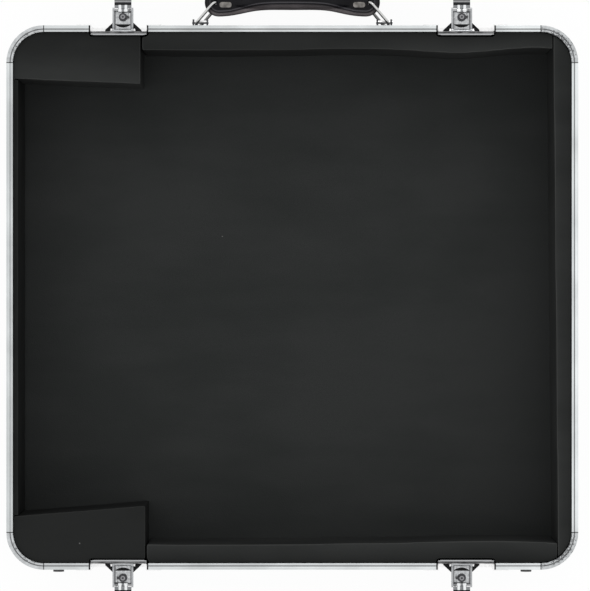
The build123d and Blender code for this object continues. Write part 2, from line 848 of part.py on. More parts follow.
# Grip: a flat strap with round lobes that the rings run through, and a pad that swells in the middle
ring_end = ring_reach + ring_bend_r
hole_x = bracket_x - ring_end * ring_way.X
hole_y = bar_out + ring_end * ring_way.Y
lobe_x = grip_lobe_x - grip_lobe_half_w
waist_y = grip_y + grip_bow
pad_w = 2 * (grip_waist_half_w - grip_seam_w)
with BuildPart() as handle_grip:
    with BuildSketch(front_frame.offset(handle_z - grip_lobe_t / 2)):
        with BuildLine():
            near = Spline(
                (-lobe_x, grip_y - grip_lobe_half_w),
                (-grip_pad_x, waist_y - grip_waist_half_w - grip_pad_bow),
                (0, waist_y - grip_waist_half_w),
                (grip_pad_x, waist_y - grip_waist_half_w - grip_pad_bow),
                (lobe_x, grip_y - grip_lobe_half_w),
                tangents=[(1, 0), (1, 0)],
            )
            ThreePointArc(near @ 1, (grip_lobe_x, grip_y), (lobe_x, grip_y + grip_lobe_half_w))
            far = Spline(
                (lobe_x, grip_y + grip_lobe_half_w),
                (0, waist_y + grip_waist_half_w),
                (-lobe_x, grip_y + grip_lobe_half_w),
                tangents=[(-1, 0), (-1, 0)],
            )
            ThreePointArc(far @ 1, (-grip_lobe_x, grip_y), near @ 0)
        make_face()
    extrude(amount=grip_lobe_t)
    with BuildSketch(upright(front_frame)):
        with Locations((waist_y, handle_z)):
            RectangleRounded(pad_w, grip_pad_t, grip_pad_r)
    extrude(amount=grip_pad_x, both=True)
    for s in bracket_sides:
        with BuildSketch(upright(front_frame, s * grip_pad_x)):
            with Locations((waist_y, handle_z)):
                RectangleRounded(pad_w, grip_pad_t, grip_pad_r)
        with BuildSketch(upright(front_frame, s * grip_pad_end_x)):
            with Locations((grip_y + grip_bow / 2, handle_z)):
                RectangleRounded(grip_pad_end_w, grip_pad_end_t, grip_pad_end_t / 2 - grip_edge_flat)
        loft()
    for s in bracket_sides:
        ring_tube(s, ring_wire_r + ring_slot_gap, Mode.SUBTRACT)
handle_grip.part.label = "handle_grip"
export_step(handle_grip.part, "parts/handle_grip.step")

end_plate_mid = hole_x - ring_wire_r - ring_slot_gap - end_plate_gap - end_plate_x / 2
end_plate_at = hole_y - end_plate_shift
with BuildPart() as handle_end_plates:
    with BuildSketch(front_frame.offset(handle_z + grip_lobe_t / 2)):
        with Locations((-end_plate_mid, end_plate_at), (end_plate_mid, end_plate_at)):
            RectangleRounded(end_plate_x, end_plate_y, end_plate_r)
    extrude(amount=end_plate_t)
handle_end_plates.part.label = "handle_end_plates"
export_step(handle_end_plates.part, "parts/handle_end_plates.step")

# Latch pans: a tray let into the wall, with a flange on the outside, a hem folded forward from the
# top of its back and two ears for the hinge pin
ear_at = lever_w / 2 + ear_gap + ear_t / 2
for tag in latches:
    pan_frame = latch_frame(tag, latch_x)
    lever_frame = latch_frame(tag, lever_x)
    with BuildPart() as latch_pan:
        with BuildSketch(pan_frame.offset(pan_bottom)) as tray:
            Rectangle(pan_w, pan_depth, align=(Align.CENTER, Align.MAX))
            fillet(tray.vertices().group_by(Axis.Y)[0], pan_corner_r)
        extrude(amount=pan_h)
        with BuildSketch(facing(pan_frame, 0, pan_top)) as flange:
            Rectangle(pan_flange_w, pan_h + pan_flange_below, align=(Align.CENTER, Align.MAX))
            fillet(flange.vertices(), pan_flange_r)
        extrude(amount=pan_flange_t)
        with BuildSketch(pan_frame.offset(pan_bottom + pan_t)) as pocket:
            with Locations((0, pan_t - pan_depth)):
                Rectangle(pan_w - 2 * pan_t, 2 * pan_depth, align=(Align.CENTER, Align.MIN))
            fillet(pocket.vertices().group_by(Axis.Y)[0], pan_corner_r - pan_t)
        extrude(amount=pan_h, mode=Mode.SUBTRACT)
        with BuildSketch(upright(pan_frame)):
            with Locations((-pan_hem_at, pan_top)):
                Rectangle(pan_depth - pan_t / 2 - pan_hem_at, pan_hem_h, align=(Align.MAX, Align.MAX))
            with Locations((-pan_hem_at - pan_hem_t, pan_top)):
                Rectangle(
                    pan_depth - pan_t - pan_hem_at - pan_hem_t, pan_groove_depth,
                    align=(Align.MAX, Align.MAX), mode=Mode.SUBTRACT,
                )
        extrude(amount=pan_w / 2 - pan_t / 2, both=True)
        with BuildSketch(upright(lever_frame, -ear_at), upright(lever_frame, ear_at)):
            with Locations((-pivot_in, pivot_z)):
                Circle(ear_r)
                Rectangle(pan_depth - pan_t / 2 - pivot_in, 2 * ear_r, align=(Align.MAX, Align.CENTER))
                Circle(hinge_pin_r + pin_gap, mode=Mode.SUBTRACT)
        extrude(amount=ear_t / 2, both=True)
        with Locations(*pan_rivets[tag]):
            Cylinder(rivet_r + rivet_gap, rivet_cut, mode=Mode.SUBTRACT)
    latch_pan.part.label = f"latch_pan_{tag}"
    export_step(latch_pan.part, f"parts/latch_pan_{tag}.step")

# Latch stops, the moulded blocks that the open levers lie on
with BuildPart() as latch_stops:
    for tag in latches:
        with BuildSketch(latch_frame(tag, lever_x).offset(pan_bottom + pan_t)):
            with BuildLine():
                stop_back = pan_t - pan_depth
                Polyline(
                    (-stop_base_w / 2, stop_back), (stop_base_w / 2, stop_back),
                    (stop_base_w / 2, -stop_shoulder), (stop_tip_w / 2, stop_tip),
                    (-stop_tip_w / 2, stop_tip), (-stop_base_w / 2, -stop_shoulder),
                    (-stop_base_w / 2, stop_back),
                )
            make_face()
        extrude(amount=lever_bottom - stop_gap - pan_bottom - pan_t)
latch_stops.part.label = "latch_stops"
export_step(latch_stops.part, "parts/latch_stops.step")

with BuildPart() as latch_hinge_pins:
    with BuildSketch(*[upright(latch_frame(tag, lever_x)) for tag in latches]):
        with Locations((-pivot_in, pivot_z)):
            Circle(hinge_pin_r)
    extrude(amount=ear_at + ear_t / 2 + pin_overhang, both=True)
latch_hinge_pins.part.label = "latch_hinge_pins"
export_step(latch_hinge_pins.part, "parts/latch_hinge_pins.step")

# Levers: a channel that turns on the hinge pin, lying open with its plate below
side_at = (lever_w - lever_side_t) / 2
for tag in latches:
    lever_frame = latch_frame(tag, lever_x)
    with BuildPart() as latch_lever:
        with BuildSketch(upright(lever_frame, -side_at), upright(lever_frame, side_at)) as cheek:
            with Locations((-pivot_in, lever_bottom)):
                Rectangle(
                    lever_side_reach, pivot_z + lever_side_rise - lever_bottom,
                    align=(Align.MIN, Align.MIN),
                )
            fillet(cheek.vertices().group_by(Axis.X)[-1].sort_by(Axis.Y)[-1], lever_side_rise)
            with Locations((-pivot_in, pivot_z)):
                Circle(lug_r)
        extrude(amount=lever_side_t / 2, both=True)
        with BuildSketch(lever_frame.offset(lever_bottom)):
            with Locations((0, -pivot_in)):
                Rectangle(lever_w, lever_plate_reach, align=(Align.CENTER, Align.MIN))
            with Locations((0, lock_v)):
                Circle(lock_body_r + pin_gap, mode=Mode.SUBTRACT)
            with BuildLine():
                chord_v = crescent_at - pivot_in
                chord = Line((-crescent_w / 2, chord_v), (crescent_w / 2, chord_v))
                ThreePointArc(chord @ 1, (0, chord_v - crescent_h), chord @ 0)
            make_face(mode=Mode.SUBTRACT)
        extrude(amount=lever_plate_t)
        with BuildSketch(upright(lever_frame)):
            with Locations((-pivot_in, pivot_z)):
                Circle(barrel_r)
            with Locations((-pivot_in, lever_bottom)):
                Rectangle(barrel_web, lug_r, align=(Align.MIN, Align.MIN))
        extrude(amount=side_at, both=True)
        with BuildSketch(upright(lever_frame)):
            with Locations((-pivot_in, pivot_z)):
                Circle(hinge_pin_r + pin_gap)
            with Locations((hook_v, hook_z)):
                Circle(hook_pin_r + pin_gap)
        extrude(amount=lever_w, both=True, mode=Mode.SUBTRACT)
    latch_lever.part.label = f"latch_lever_{tag}"
    export_step(latch_lever.part, f"parts/latch_lever_{tag}.step")

# Lock housings, with a nut behind the plate and a round face in front of it
for tag in latches:
    lever_frame = latch_frame(tag, lever_x)
    with BuildPart() as lock_housing:
        with BuildSketch(lever_frame.offset(lever_bottom - lock_face_drop)):
            with Locations((0, lock_v)):
                Circle(lock_face_r)
        extrude(amount=lock_face_drop)
        with BuildSketch(lever_frame.offset(lever_bottom)):
            with Locations((0, lock_v)):
                Circle(lock_body_r)
        extrude(amount=lever_plate_t + lock_body_rise)
        with BuildSketch(lever_frame.offset(lever_floor)):
            with Locations((0, lock_v)):
                Circle(lock_nut_r)
        extrude(amount=lock_nut_t)
        with BuildSketch(lever_frame):
            with Locations((0, lock_v)):
                Circle(lock_plug_r + pin_gap)
        extrude(amount=rim_top, mode=Mode.SUBTRACT)
    lock_housing.part.label = f"lock_housing_{tag}"
    export_step(lock_housing.part, f"parts/lock_housing_{tag}.step")

# Lock plugs, with a key slot in front and a cam behind that turns over the heel of the hook
cam_z = hook_z + max(heel_rise, hook_barrel_r) + cam_gap
for tag in latches:
    lever_frame = latch_frame(tag, lever_x)
    with BuildPart() as lock_plug:
        with BuildSketch(lever_frame.offset(lever_bottom - lock_face_drop)):
            with Locations((0, lock_v)):
                Circle(lock_plug_r)
        extrude(amount=cam_z - lever_bottom + lock_face_drop)
        with BuildSketch(lever_frame.offset(cam_z)):
            with Locations((0, lock_v)):
                Circle(lock_plug_r)
                Rectangle(cam_reach, cam_w, align=(Align.MIN, Align.CENTER))
        extrude(amount=cam_t)
        with BuildSketch(lever_frame.offset(lever_bottom - lock_face_drop)):
            with Locations((0, lock_v)):
                Rectangle(key_slot_w, key_slot_l)
        extrude(amount=key_slot_depth, mode=Mode.SUBTRACT)
    lock_plug.part.label = f"lock_plug_{tag}"
    export_step(lock_plug.part, f"parts/lock_plug_{tag}.step")

# Hooks: a barrel on the hook pin, a shank with two round ribs, and a plate with a nose and a lip
hook_under = hook_z - hook_barrel_r + hook_gap
shank_start = hook_barrel_r + hook_gap
for tag in latches:
    lever_frame = latch_frame(tag, lever_x)
    with BuildPart() as latch_hook:
        with BuildSketch(upright(lever_frame)):
            with Locations((hook_v, hook_z)):
                Circle(hook_barrel_r)
            with Locations((hook_v, lever_floor + hook_gap)):
                Rectangle(
                    heel_reach, hook_z + heel_rise - lever_floor - hook_gap,
                    align=(Align.MAX, Align.MIN),
                )
            with Locations((hook_v, hook_under)):
                Rectangle(2 * shank_start, hook_shank_t, align=(Align.MIN, Align.MIN))
        extrude(amount=hook_barrel_w / 2, both=True)
        with BuildSketch(upright(lever_frame)):
            with Locations((hook_v + shank_start, hook_under)):
                Rectangle(
                    hook_shank_end - hook_at - shank_start, hook_shank_t, align=(Align.MIN, Align.MIN)
                )
            with BuildLine():
                plate_v = hook_shank_end - pivot_in
                nose_v = hook_plate_end - pivot_in
                lip_v = hook_lip_end - pivot_in
                plate_top = hook_under + hook_plate_t
                Polyline(
                    (plate_v, hook_under), (nose_v - hook_plate_t, hook_under),
                    (lip_v, hook_under - hook_lip_drop),
                    (lip_v, hook_under - hook_lip_drop + hook_shank_t),
                    (nose_v, plate_top), (nose_v, plate_top + hook_nose_rise),
                    (nose_v - hook_nose_t, plate_top + hook_nose_rise),
                    (nose_v - hook_nose_t, plate_top), (plate_v, plate_top), (plate_v, hook_under),
                )
            make_face()
            with Locations((thumb_ridge_at - pivot_in, plate_top)):
                Rectangle(thumb_ridge_w, 2 * thumb_ridge_rise)
        extrude(amount=hook_plate_w / 2, both=True)
        with BuildSketch(facing(lever_frame, 0, hook_under, hook_v)):
            with Locations((-hook_rib_at, hook_rib_rise), (hook_rib_at, hook_rib_rise)):
                Circle(hook_rib_w / 2)
            with Locations((0, 0)):
                Rectangle(hook_plate_w, hook_barrel_r, align=(Align.CENTER, Align.MAX), mode=Mode.SUBTRACT)
        extrude(amount=hook_shank_end - hook_at)
        with BuildSketch(upright(lever_frame)):
            with Locations((hook_v, hook_z)):
                Circle(hook_pin_r + pin_gap)
        extrude(amount=lever_w, both=True, mode=Mode.SUBTRACT)
    latch_hook.part.label = f"latch_hook_{tag}"
    export_step(latch_hook.part, f"parts/latch_hook_{tag}.step")

# Hook pins
for tag in latches:
    with BuildPart() as hook_pin:
        with BuildSketch(upright(latch_frame(tag, lever_x))):
            with Locations((hook_v, hook_z)):
                Circle(hook_pin_r)
        extrude(amount=lever_w / 2, both=True)
    hook_pin.part.label = f"hook_pin_{tag}"
    export_step(hook_pin.part, f"parts/hook_pin_{tag}.step")

# Hook springs: the closed coils as a sleeve on the pin, and the leg that lies on the lever's plate
spring_at = hook_barrel_w / 2 + hook_gap + spring_w / 2
for tag in latches:
    lever_frame = latch_frame(tag, lever_x)
    with BuildPart() as hook_spring:
        with BuildSketch(upright(lever_frame, spring_at)):
            with Locations((hook_v, hook_z)):
                Circle(spring_r)
            with Locations((hook_v, lever_floor)):
                Rectangle(spring_leg, spring_wire, align=(Align.MAX, Align.MIN))
            with Locations((hook_v, hook_z)):
                Circle(hook_pin_r + pin_gap, mode=Mode.SUBTRACT)
        extrude(amount=spring_w / 2, both=True)
    hook_spring.part.label = f"hook_spring_{tag}"
    export_step(hook_spring.part, f"parts/hook_spring_{tag}.step")
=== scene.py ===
# %% [markdown]
# # The open base of a mixer flight case
# A flight case is a box of thin black board held in aluminium edge extrusions. This one lies open on
# its feet, without its lid: foam lines it, four draw latches lie open and a padded handle stands out.
# The hard parts come from the CAD model and keep their shapes. Here they get their finishes, and the
# soft parts and the small repeated ones are made again with more detail. The outer line of the case
# and the top of its rim are read from the frame, because most marks and places are measured from them.

# %% Load the CAD model as a fixed frame
import math

import bmesh
import bpy
import numpy as np
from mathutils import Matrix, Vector


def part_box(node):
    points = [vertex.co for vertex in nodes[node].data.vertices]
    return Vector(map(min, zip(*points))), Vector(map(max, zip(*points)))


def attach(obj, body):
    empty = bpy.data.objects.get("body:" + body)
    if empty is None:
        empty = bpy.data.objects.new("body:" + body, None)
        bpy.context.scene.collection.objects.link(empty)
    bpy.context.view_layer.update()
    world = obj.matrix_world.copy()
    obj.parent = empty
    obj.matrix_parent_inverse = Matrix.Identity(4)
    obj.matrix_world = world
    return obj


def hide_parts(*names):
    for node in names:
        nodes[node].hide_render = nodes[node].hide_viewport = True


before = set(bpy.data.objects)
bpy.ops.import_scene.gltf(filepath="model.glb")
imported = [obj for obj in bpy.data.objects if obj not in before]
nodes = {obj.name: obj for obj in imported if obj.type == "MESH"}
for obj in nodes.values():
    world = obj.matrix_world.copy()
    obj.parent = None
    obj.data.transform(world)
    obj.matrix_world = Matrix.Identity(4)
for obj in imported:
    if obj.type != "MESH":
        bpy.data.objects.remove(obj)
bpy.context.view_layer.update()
mm = 0.001
half_x, half_y, rim_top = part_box("rim_corners")[1]
corner_r = half_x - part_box("rim_rails_front")[1].x

# %% [markdown]
# ## Helpers for node materials
# Every finish here is a small tree of nodes that reads Object coordinates, in metres, so a pattern
# keeps its real size and stays on its piece when the piece moves. The first helper starts a material,
# and the second adds a node and joins it to the sockets it is given. The others give what a pattern
# starts from: stretched coordinates, a noise, cells, or a number that the mesh itself stores.


# %% Start a material, and add nodes to it
def start_material(name, colour, roughness, metallic=0.0, gloss=0.5):
    """A Principled material with flat starting values, its tree, its shader and its coordinates."""
    material = bpy.data.materials.new(name)
    material.use_nodes = True
    tree = material.node_tree
    shader = tree.nodes["Principled BSDF"]
    shader.inputs["Base Color"].default_value = (*colour, 1)
    shader.inputs["Roughness"].default_value = roughness
    shader.inputs["Metallic"].default_value = metallic
    shader.inputs["Specular IOR Level"].default_value = gloss
    return material, tree, shader, tree.nodes.new("ShaderNodeTexCoord").outputs["Object"]


def add_node(tree, kind, sockets=None, **settings):
    """One node with its settings; each socket gets a link or a plain value."""
    node = tree.nodes.new(kind)
    for setting, value in settings.items():
        setattr(node, setting, value)
    for socket, value in (sockets or {}).items():
        if isinstance(value, bpy.types.NodeSocket):
            tree.links.new(value, node.inputs[socket])
        else:
            node.inputs[socket].default_value = value
    return node


def stretched(tree, place, stretch):
    """Coordinates scaled on each axis, so that a noise draws lines instead of spots."""
    return add_node(tree, "ShaderNodeMapping", {"Vector": place, "Scale": stretch}).outputs[0]


def noise(tree, place, scale, detail=2.0):
    """A soft noise between 0 and 1; scale counts its spots along one metre."""
    return add_node(
        tree, "ShaderNodeTexNoise", {"Vector": place, "Scale": scale, "Detail": detail}
    ).outputs[0]


def cells(tree, place, scale, feature="F1"):
    """Distances in a pattern of irregular cells; scale counts the cells along one metre."""
    return add_node(
        tree, "ShaderNodeTexVoronoi", {"Vector": place, "Scale": scale}, feature=feature
    ).outputs["Distance"]


def stored(tree, name):
    """The number that a mesh stores under a name at each point."""
    return add_node(tree, "ShaderNodeAttribute", attribute_name=name).outputs["Fac"]


# %% [markdown]
# ## Helpers for sums and masks
# A mark on a surface is a mask, a value that is 1 on the mark and 0 elsewhere, and a colour that shows
# where the mask is 1. Masks come from comparing a distance with a limit, and multiplying two masks
# keeps what both hold. A ramp takes the part of a value's range that matters and spreads it out, which
# makes a mask with a soft edge, or a roughness that changes with a noise.


# %% Sums, masks and mixes
def maths(tree, operation, first, second=0.0):
    """One sum on two values."""
    return add_node(tree, "ShaderNodeMath", {0: first, 1: second}, operation=operation).outputs[0]


def split(tree, vector):
    """The x, y and z of a vector."""
    return add_node(tree, "ShaderNodeSeparateXYZ", {0: vector}).outputs


def absolute(tree, value):
    """A value without its sign."""
    return maths(tree, "ABSOLUTE", value)


def minus(tree, first, second):
    """The first value less the second."""
    return maths(tree, "SUBTRACT", first, second)


def times(tree, first, second):
    """The product of two values; of two masks, what both hold."""
    return maths(tree, "MULTIPLY", first, second)


def larger(tree, first, second):
    """The larger of two values; of two masks, what either holds."""
    return maths(tree, "MAXIMUM", first, second)


def above(tree, value, limit):
    """1 where the value is over the limit, and 0 elsewhere."""
    return maths(tree, "GREATER_THAN", value, limit)


def below(tree, value, limit):
    """1 where the value is under the limit, and 0 elsewhere."""
    return maths(tree, "LESS_THAN", value, limit)


def between(tree, value, low, high):
    """1 where the value lies between low and high, and 0 elsewhere."""
    return times(tree, above(tree, value, low), below(tree, value, high))


def length(tree, first, second):
    """The length of the slope whose two sides are given."""
    squares = [maths(tree, "POWER", side, 2.0) for side in (first, second)]
    return maths(tree, "SQRT", maths(tree, "ADD", *squares))


def ramp(tree, value, low, high, to_low=0.0, to_high=1.0):
    """The value's part between low and high, spread from to_low to to_high."""
    return add_node(
        tree, "ShaderNodeMapRange",
        {"Value": value, "From Min": low, "From Max": high, "To Min": to_low, "To Max": to_high},
    ).outputs[0]


def mix_colours(tree, factor, first, second):
    """One colour where the factor is 0 and the other where it is 1."""
    node = add_node(tree, "ShaderNodeMix", {"Factor": factor}, data_type="RGBA")
    for socket, value in ((node.inputs[6], first), (node.inputs[7], second)):
        if isinstance(value, bpy.types.NodeSocket):
            tree.links.new(value, socket)
        else:
            socket.default_value = (*value, 1)
    return node.outputs[2]


def mark(tree, shade, mask, strength, colour):
    """The shade with a colour laid over it where the mask is 1, as strongly as strength says."""
    return mix_colours(tree, times(tree, mask, strength), shade, colour)


def scaled(colour, factor):
    """A plain colour made darker or lighter, and never lighter than white."""
    return [min(1.0, factor * c) for c in colour]


def set_looks(tree, shader, shade, roughness=None):
    """Joins a colour, and a roughness where there is one, to the shader."""
    tree.links.new(shade, shader.inputs["Base Color"])
    if roughness is not None:
        tree.links.new(roughness, shader.inputs["Roughness"])


def dent(tree, shader, height, depth):
    """Joins a height to the shader's normal as a bump of that depth in metres."""
    bump = add_node(tree, "ShaderNodeBump", {"Height": height, "Distance": depth, "Strength": 1.0})
    tree.links.new(bump.outputs[0], shader.inputs["Normal"])


# %% [markdown]
# ## Where a point of the rim lies
# The rim has a groove for the lid's tongue, which holds soiling and painted shade, and its corners show
# streaks on the inside of the bend. Both need to know how far a point lies inside the outer line of the
# case. That line is a rectangle with round corners, so the distance is the corner's radius less the
# reach past the straight part, and one sum serves the rails and the corners.


# %% Distance inside the case's outer line
def past_straight(tree, along, half):
    """How far a point lies past the straight part of one side, less than 0 beside that part."""
    return minus(tree, absolute(tree, along), half - corner_r)


def rim_inset(tree, place):
    """Distance inside the outer line of the case, in metres."""
    x, y, _ = split(tree, place)
    past_x, past_y = past_straight(tree, x, half_x), past_straight(tree, y, half_y)
    return minus(tree, corner_r, length(tree, larger(tree, past_x, 0.0), larger(tree, past_y, 0.0)))


def in_rim_groove(tree, inset):
    """A mask of the groove in the top of the rim."""
    return between(tree, inset, 2.95 * mm, 4.05 * mm)


# %% [markdown]
# ## Aluminium extrusion
# The rim, base and corner profiles are drawn through a die, which leaves fine straight lines along
# them. A noise squeezed hard across the profile and pulled out along it gives those lines. The rails
# run two ways and the posts a third, so there is one finish for each direction. Over a random tarnish,
# painted light makes the right side brighter and painted shade makes the left side duller. The groove
# holds soiling and painted shade, and the inner lip a faint painted shade. Each rail's ends are dark
# where the saw left them bare: at the latch pans, for the rim alone, and at the corners.


# %% Where the rails end
def middle_of(node):
    """The middle of a node's box."""
    low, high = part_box(node)
    return (low + high) / 2


latch_x, pan_gap, rim_low_z = middle_of("latch_pan_front_right").x, 26.7 * mm, 80 * mm
print("latches at", round(latch_x / mm, 1), "mm, half a gap", round(pan_gap / mm, 1), "mm")


def from_centre(tree, along, centre):
    """Distance to either side of a centre that both halves of the case have."""
    return absolute(tree, minus(tree, absolute(tree, along), centre))


def at_rail_end(tree, place):
    """A mask of the last half millimetre of each rail."""
    x, y, z = split(tree, place)
    by_latch = below(tree, from_centre(tree, x, latch_x), pan_gap + 0.5 * mm)
    ends = times(tree, by_latch, above(tree, z, rim_low_z))
    for along, half in ((x, half_x), (y, half_y)):
        at_corner = between(tree, past_straight(tree, along, half), -0.4 * mm, 0.1 * mm)
        ends = larger(tree, ends, at_corner)
    return ends


# %% Aluminium with its die lines along x, y or z
def aluminium(name, stretch):
    """Aluminium whose lines run along the axis with the small stretch."""
    colour, roughness = (0.745, 0.775, 0.78), 0.3
    material, tree, shader, place = start_material(name, colour, roughness, 1.0)
    x = split(tree, place)[0]
    lines = noise(tree, stretched(tree, place, stretch), 1.0, 3.0)
    tarnish = noise(tree, place, 24.0, 5.0)
    # Painted light and shade: the right side brighter and the left side duller, over a random tarnish.
    tarnish_and_side_light = maths(tree, "ADD", tarnish, ramp(tree, x, -half_x, half_x, -0.16, 0.16))
    shade = mix_colours(tree, ramp(tree, tarnish_and_side_light, 0.3, 0.75), scaled(colour, 0.78), scaled(colour, 1.18))
    shade = mix_colours(tree, ramp(tree, lines, 0.38, 0.62, 0.0, 0.3), shade, scaled(colour, 0.62))
    inset = rim_inset(tree, place)
    # Painted shade on the inner lip.
    inner_lip_shade = ramp(tree, inset, 3.9 * mm, 4.1 * mm, 0.0, 0.16)
    shade = mix_colours(tree, inner_lip_shade, shade, (0.3, 0.3, 0.31))
    # Soiling and painted shade in the groove, stronger towards the left end.
    groove_dirt_and_shade = ramp(tree, x, -half_x, -0.9 * half_x, 0.25, 0.8)
    shade = mark(tree, shade, in_rim_groove(tree, inset), groove_dirt_and_shade, (0.12, 0.12, 0.125))
    shade = mark(tree, shade, at_rail_end(tree, place), 0.85, (0.03, 0.03, 0.03))
    set_looks(tree, shader, shade, ramp(tree, lines, 0.3, 0.7, roughness - 0.07, roughness + 0.1))
    dent(tree, shader, lines, 0.06 * mm)
    return material


aluminium_x = aluminium("aluminium_along_x", (5, 1500, 1500))
aluminium_y = aluminium("aluminium_along_y", (1500, 5, 1500))
aluminium_z = aluminium("aluminium_along_z", (1500, 1500, 5))
print("extrusion finishes made")

# %% [markdown]
# ## Bent aluminium
# The rim corners are the same profile bent round a former. Bending dulls the surface and leaves small
# ripples across the bend, and it crumples the inner edge, where dark streaks stay. The two corners on
# the right have more of them, most in the middle of the bend. The streaks are a noise read in angle
# round the bend and in distance from the outer line. A thin dark line shows where each corner meets a
# rail.


# %% Dark streaks across a bend
def bend_streaks(tree, x, across, along, inset):
    """A mask of the streaks, from the distances past the straight parts and inside the outer line."""
    angle = maths(tree, "ARCTAN2", along, across)
    round_bend = add_node(tree, "ShaderNodeCombineXYZ", {0: angle, 1: times(tree, inset, 60.0), 2: x})
    streaks = noise(tree, round_bend.outputs[0], 16.0, 3.0)
    middle = ramp(tree, absolute(tree, minus(tree, angle, 0.75)), 0.1, 0.5, 0.09, 0.0)
    side_share = minus(tree, ramp(tree, x, -half_x, half_x, 0.10, 0.0), middle)
    inner_share = ramp(tree, inset, 1.0 * mm, 5.5 * mm, 0.16, 0.0)
    limit = maths(tree, "ADD", maths(tree, "ADD", side_share, inner_share), 0.47)
    return ramp(tree, minus(tree, streaks, limit), 0.0, 0.09)


# %% Dull rippled aluminium for the bent corners
bent_aluminium, tree, shader, place = start_material("bent_aluminium", (0.56, 0.57, 0.58), 0.42, 1.0)
x, y, _ = split(tree, place)
inset = rim_inset(tree, place)
across, along = past_straight(tree, x, half_x), past_straight(tree, y, half_y)
ripples = noise(tree, place, 240.0, 3.0)
grain = noise(tree, place, 2200.0, 2.0)
joint = below(tree, maths(tree, "MINIMUM", across, along), 0.5 * mm)
shade = mix_colours(tree, ramp(tree, ripples, 0.3, 0.7), (0.64, 0.66, 0.67), (0.46, 0.475, 0.48))
shade = mark(tree, shade, bend_streaks(tree, x, across, along, inset), 0.8, (0.05, 0.05, 0.055))
# Soiling and painted shade in the groove.
shade = mark(tree, shade, in_rim_groove(tree, inset), 0.75, (0.10, 0.10, 0.105))
shade = mark(tree, shade, joint, 0.9, (0.02, 0.02, 0.02))
set_looks(tree, shader, shade, ramp(tree, grain, 0.3, 0.7, 0.34, 0.52))
dent(tree, shader, ripples, 0.5 * mm)
print("bent finish made")

# %% [markdown]
# ## Plated steel
# Latch pans, levers, rings and pins are pressed or turned steel under a thin bright plating. It is
# never a perfect mirror: it has a faint mottle from the sheet and fine scratches. The same recipe with
# other numbers gives bright chrome, plain zinc and the dark plating of brackets and lock nuts.


# %% One recipe for every plated finish
def plated(name, colour, roughness, mottle=0.12, depth=0.04 * mm, size=700.0, marks_and_shade=None):
    """Plated steel; the last argument may give back another shade, with a piece's own marks and painted
    shade.
    """
    material, tree, shader, place = start_material(name, colour, roughness, 1.0)
    spots = noise(tree, place, size, 4.0)
    darker, lighter = scaled(colour, 1 - mottle), scaled(colour, 1 + mottle)
    shade = mix_colours(tree, ramp(tree, spots, 0.3, 0.7), darker, lighter)
    if marks_and_shade:
        shade = marks_and_shade(tree, place, shade)
    set_looks(tree, shader, shade, ramp(tree, spots, 0.3, 0.7, roughness + 0.06, roughness - 0.04))
    dent(tree, shader, spots, depth)
    return material


zinc_plate = plated("zinc_plating", (0.55, 0.56, 0.57), 0.33)
pin_plate = plated("pin_plating", (0.34, 0.345, 0.35), 0.36, mottle=0.3)
bar_plate = plated("bracket_bar_plating", (0.85, 0.85, 0.85), 0.15, mottle=0.05)
dark_plate = plated("dark_plating", (0.07, 0.07, 0.075), 0.34, mottle=0.2)
nut_plate = plated("lock_nut_plating", (0.07, 0.07, 0.075), 0.3)
end_plate = plated("end_plate_plating", (0.19, 0.18, 0.17), 0.34, mottle=0.5, size=240.0)
print("plated finishes made")

# %% [markdown]
# ## Painted shade and marks on the latches
# The plating of a latch is bright where it lies open. Painted shade darkens it on the recess floor by
# the wall, in bands on the hem, fold and lip at the back of the pan, behind the hinge, in the corners
# inside the lever's channel and on the tops of its sides. The lock's nut and cam are blackened, and a
# bright ring circles the keyhole. Each mark lies at a fixed distance from the wall, the lever or the
# lock, so each is worked out from Object coordinates and laid over the plain plating.

# %% Distances on a latch
lever_x, lock_y = middle_of("latch_lever_front_right").x, middle_of("lock_housing_front_right").y
print("levers at", round(lever_x / mm, 1), "mm, locks at", round(lock_y / mm, 1), "mm")


def from_lever(tree, place):
    """Distance to either side of the middle of a lever."""
    return from_centre(tree, split(tree, place)[0], lever_x)


# %% Painted shade on the pan, back to front
hem_back, fold_back, lip_back, lip_top_back, lip_front = (v * mm for v in (-9.0, -8.0, -7.1, -6.25, -5.2))
pan_floor, lip_z, hinge_z, hinge_reach = -3.0 * mm, 109.8 * mm, 92 * mm, 13 * mm


def pan_shade(tree, place, shade):
    """Painted shade on the recess floor by the wall, on the hem and in the fold, in dashes on the lip, and a
    painted shadow behind the hinge.
    """
    _, y, z = split(tree, place)
    out = minus(tree, absolute(tree, y), half_y)
    # Painted shade on the recess floor near the wall.
    floor_shade = ramp(tree, out, -6.0 * mm, pan_floor, 0.75, 0.0)
    shade = mix_colours(tree, floor_shade, shade, (0.30, 0.305, 0.31))
    # Painted shade on the lip, broken into dashes by a noise.
    shade_dashes = ramp(tree, noise(tree, stretched(tree, place, (120, 700, 200)), 1.0, 3.0), 0.38, 0.58, 0.45, 1.0)
    lip_top = times(tree, above(tree, z, lip_z), between(tree, out, lip_top_back, lip_front))
    lip = larger(tree, lip_top, between(tree, out, lip_back, lip_top_back))
    shade = mark(tree, shade, lip, shade_dashes, (0.035, 0.035, 0.037))
    # Painted shade in the fold and on the hem.
    shade = mark(tree, shade, between(tree, out, fold_back, lip_back), 0.6, (0.22, 0.225, 0.23))
    shade = mark(tree, shade, between(tree, out, hem_back, fold_back), 0.7, (0.46, 0.47, 0.48))
    # Painted shadow behind the hinge.
    hinge = times(tree, below(tree, from_lever(tree, place), hinge_reach), below(tree, z, hinge_z))
    behind = times(tree, hinge, between(tree, out, fold_back, pan_floor))
    return mark(tree, shade, behind, 0.75, (0.08, 0.08, 0.085))


pan_plate = plated("pan_plating", (0.90, 0.90, 0.90), 0.14, mottle=0.05, depth=0.02 * mm, marks_and_shade=pan_shade)
print("pan finish made")

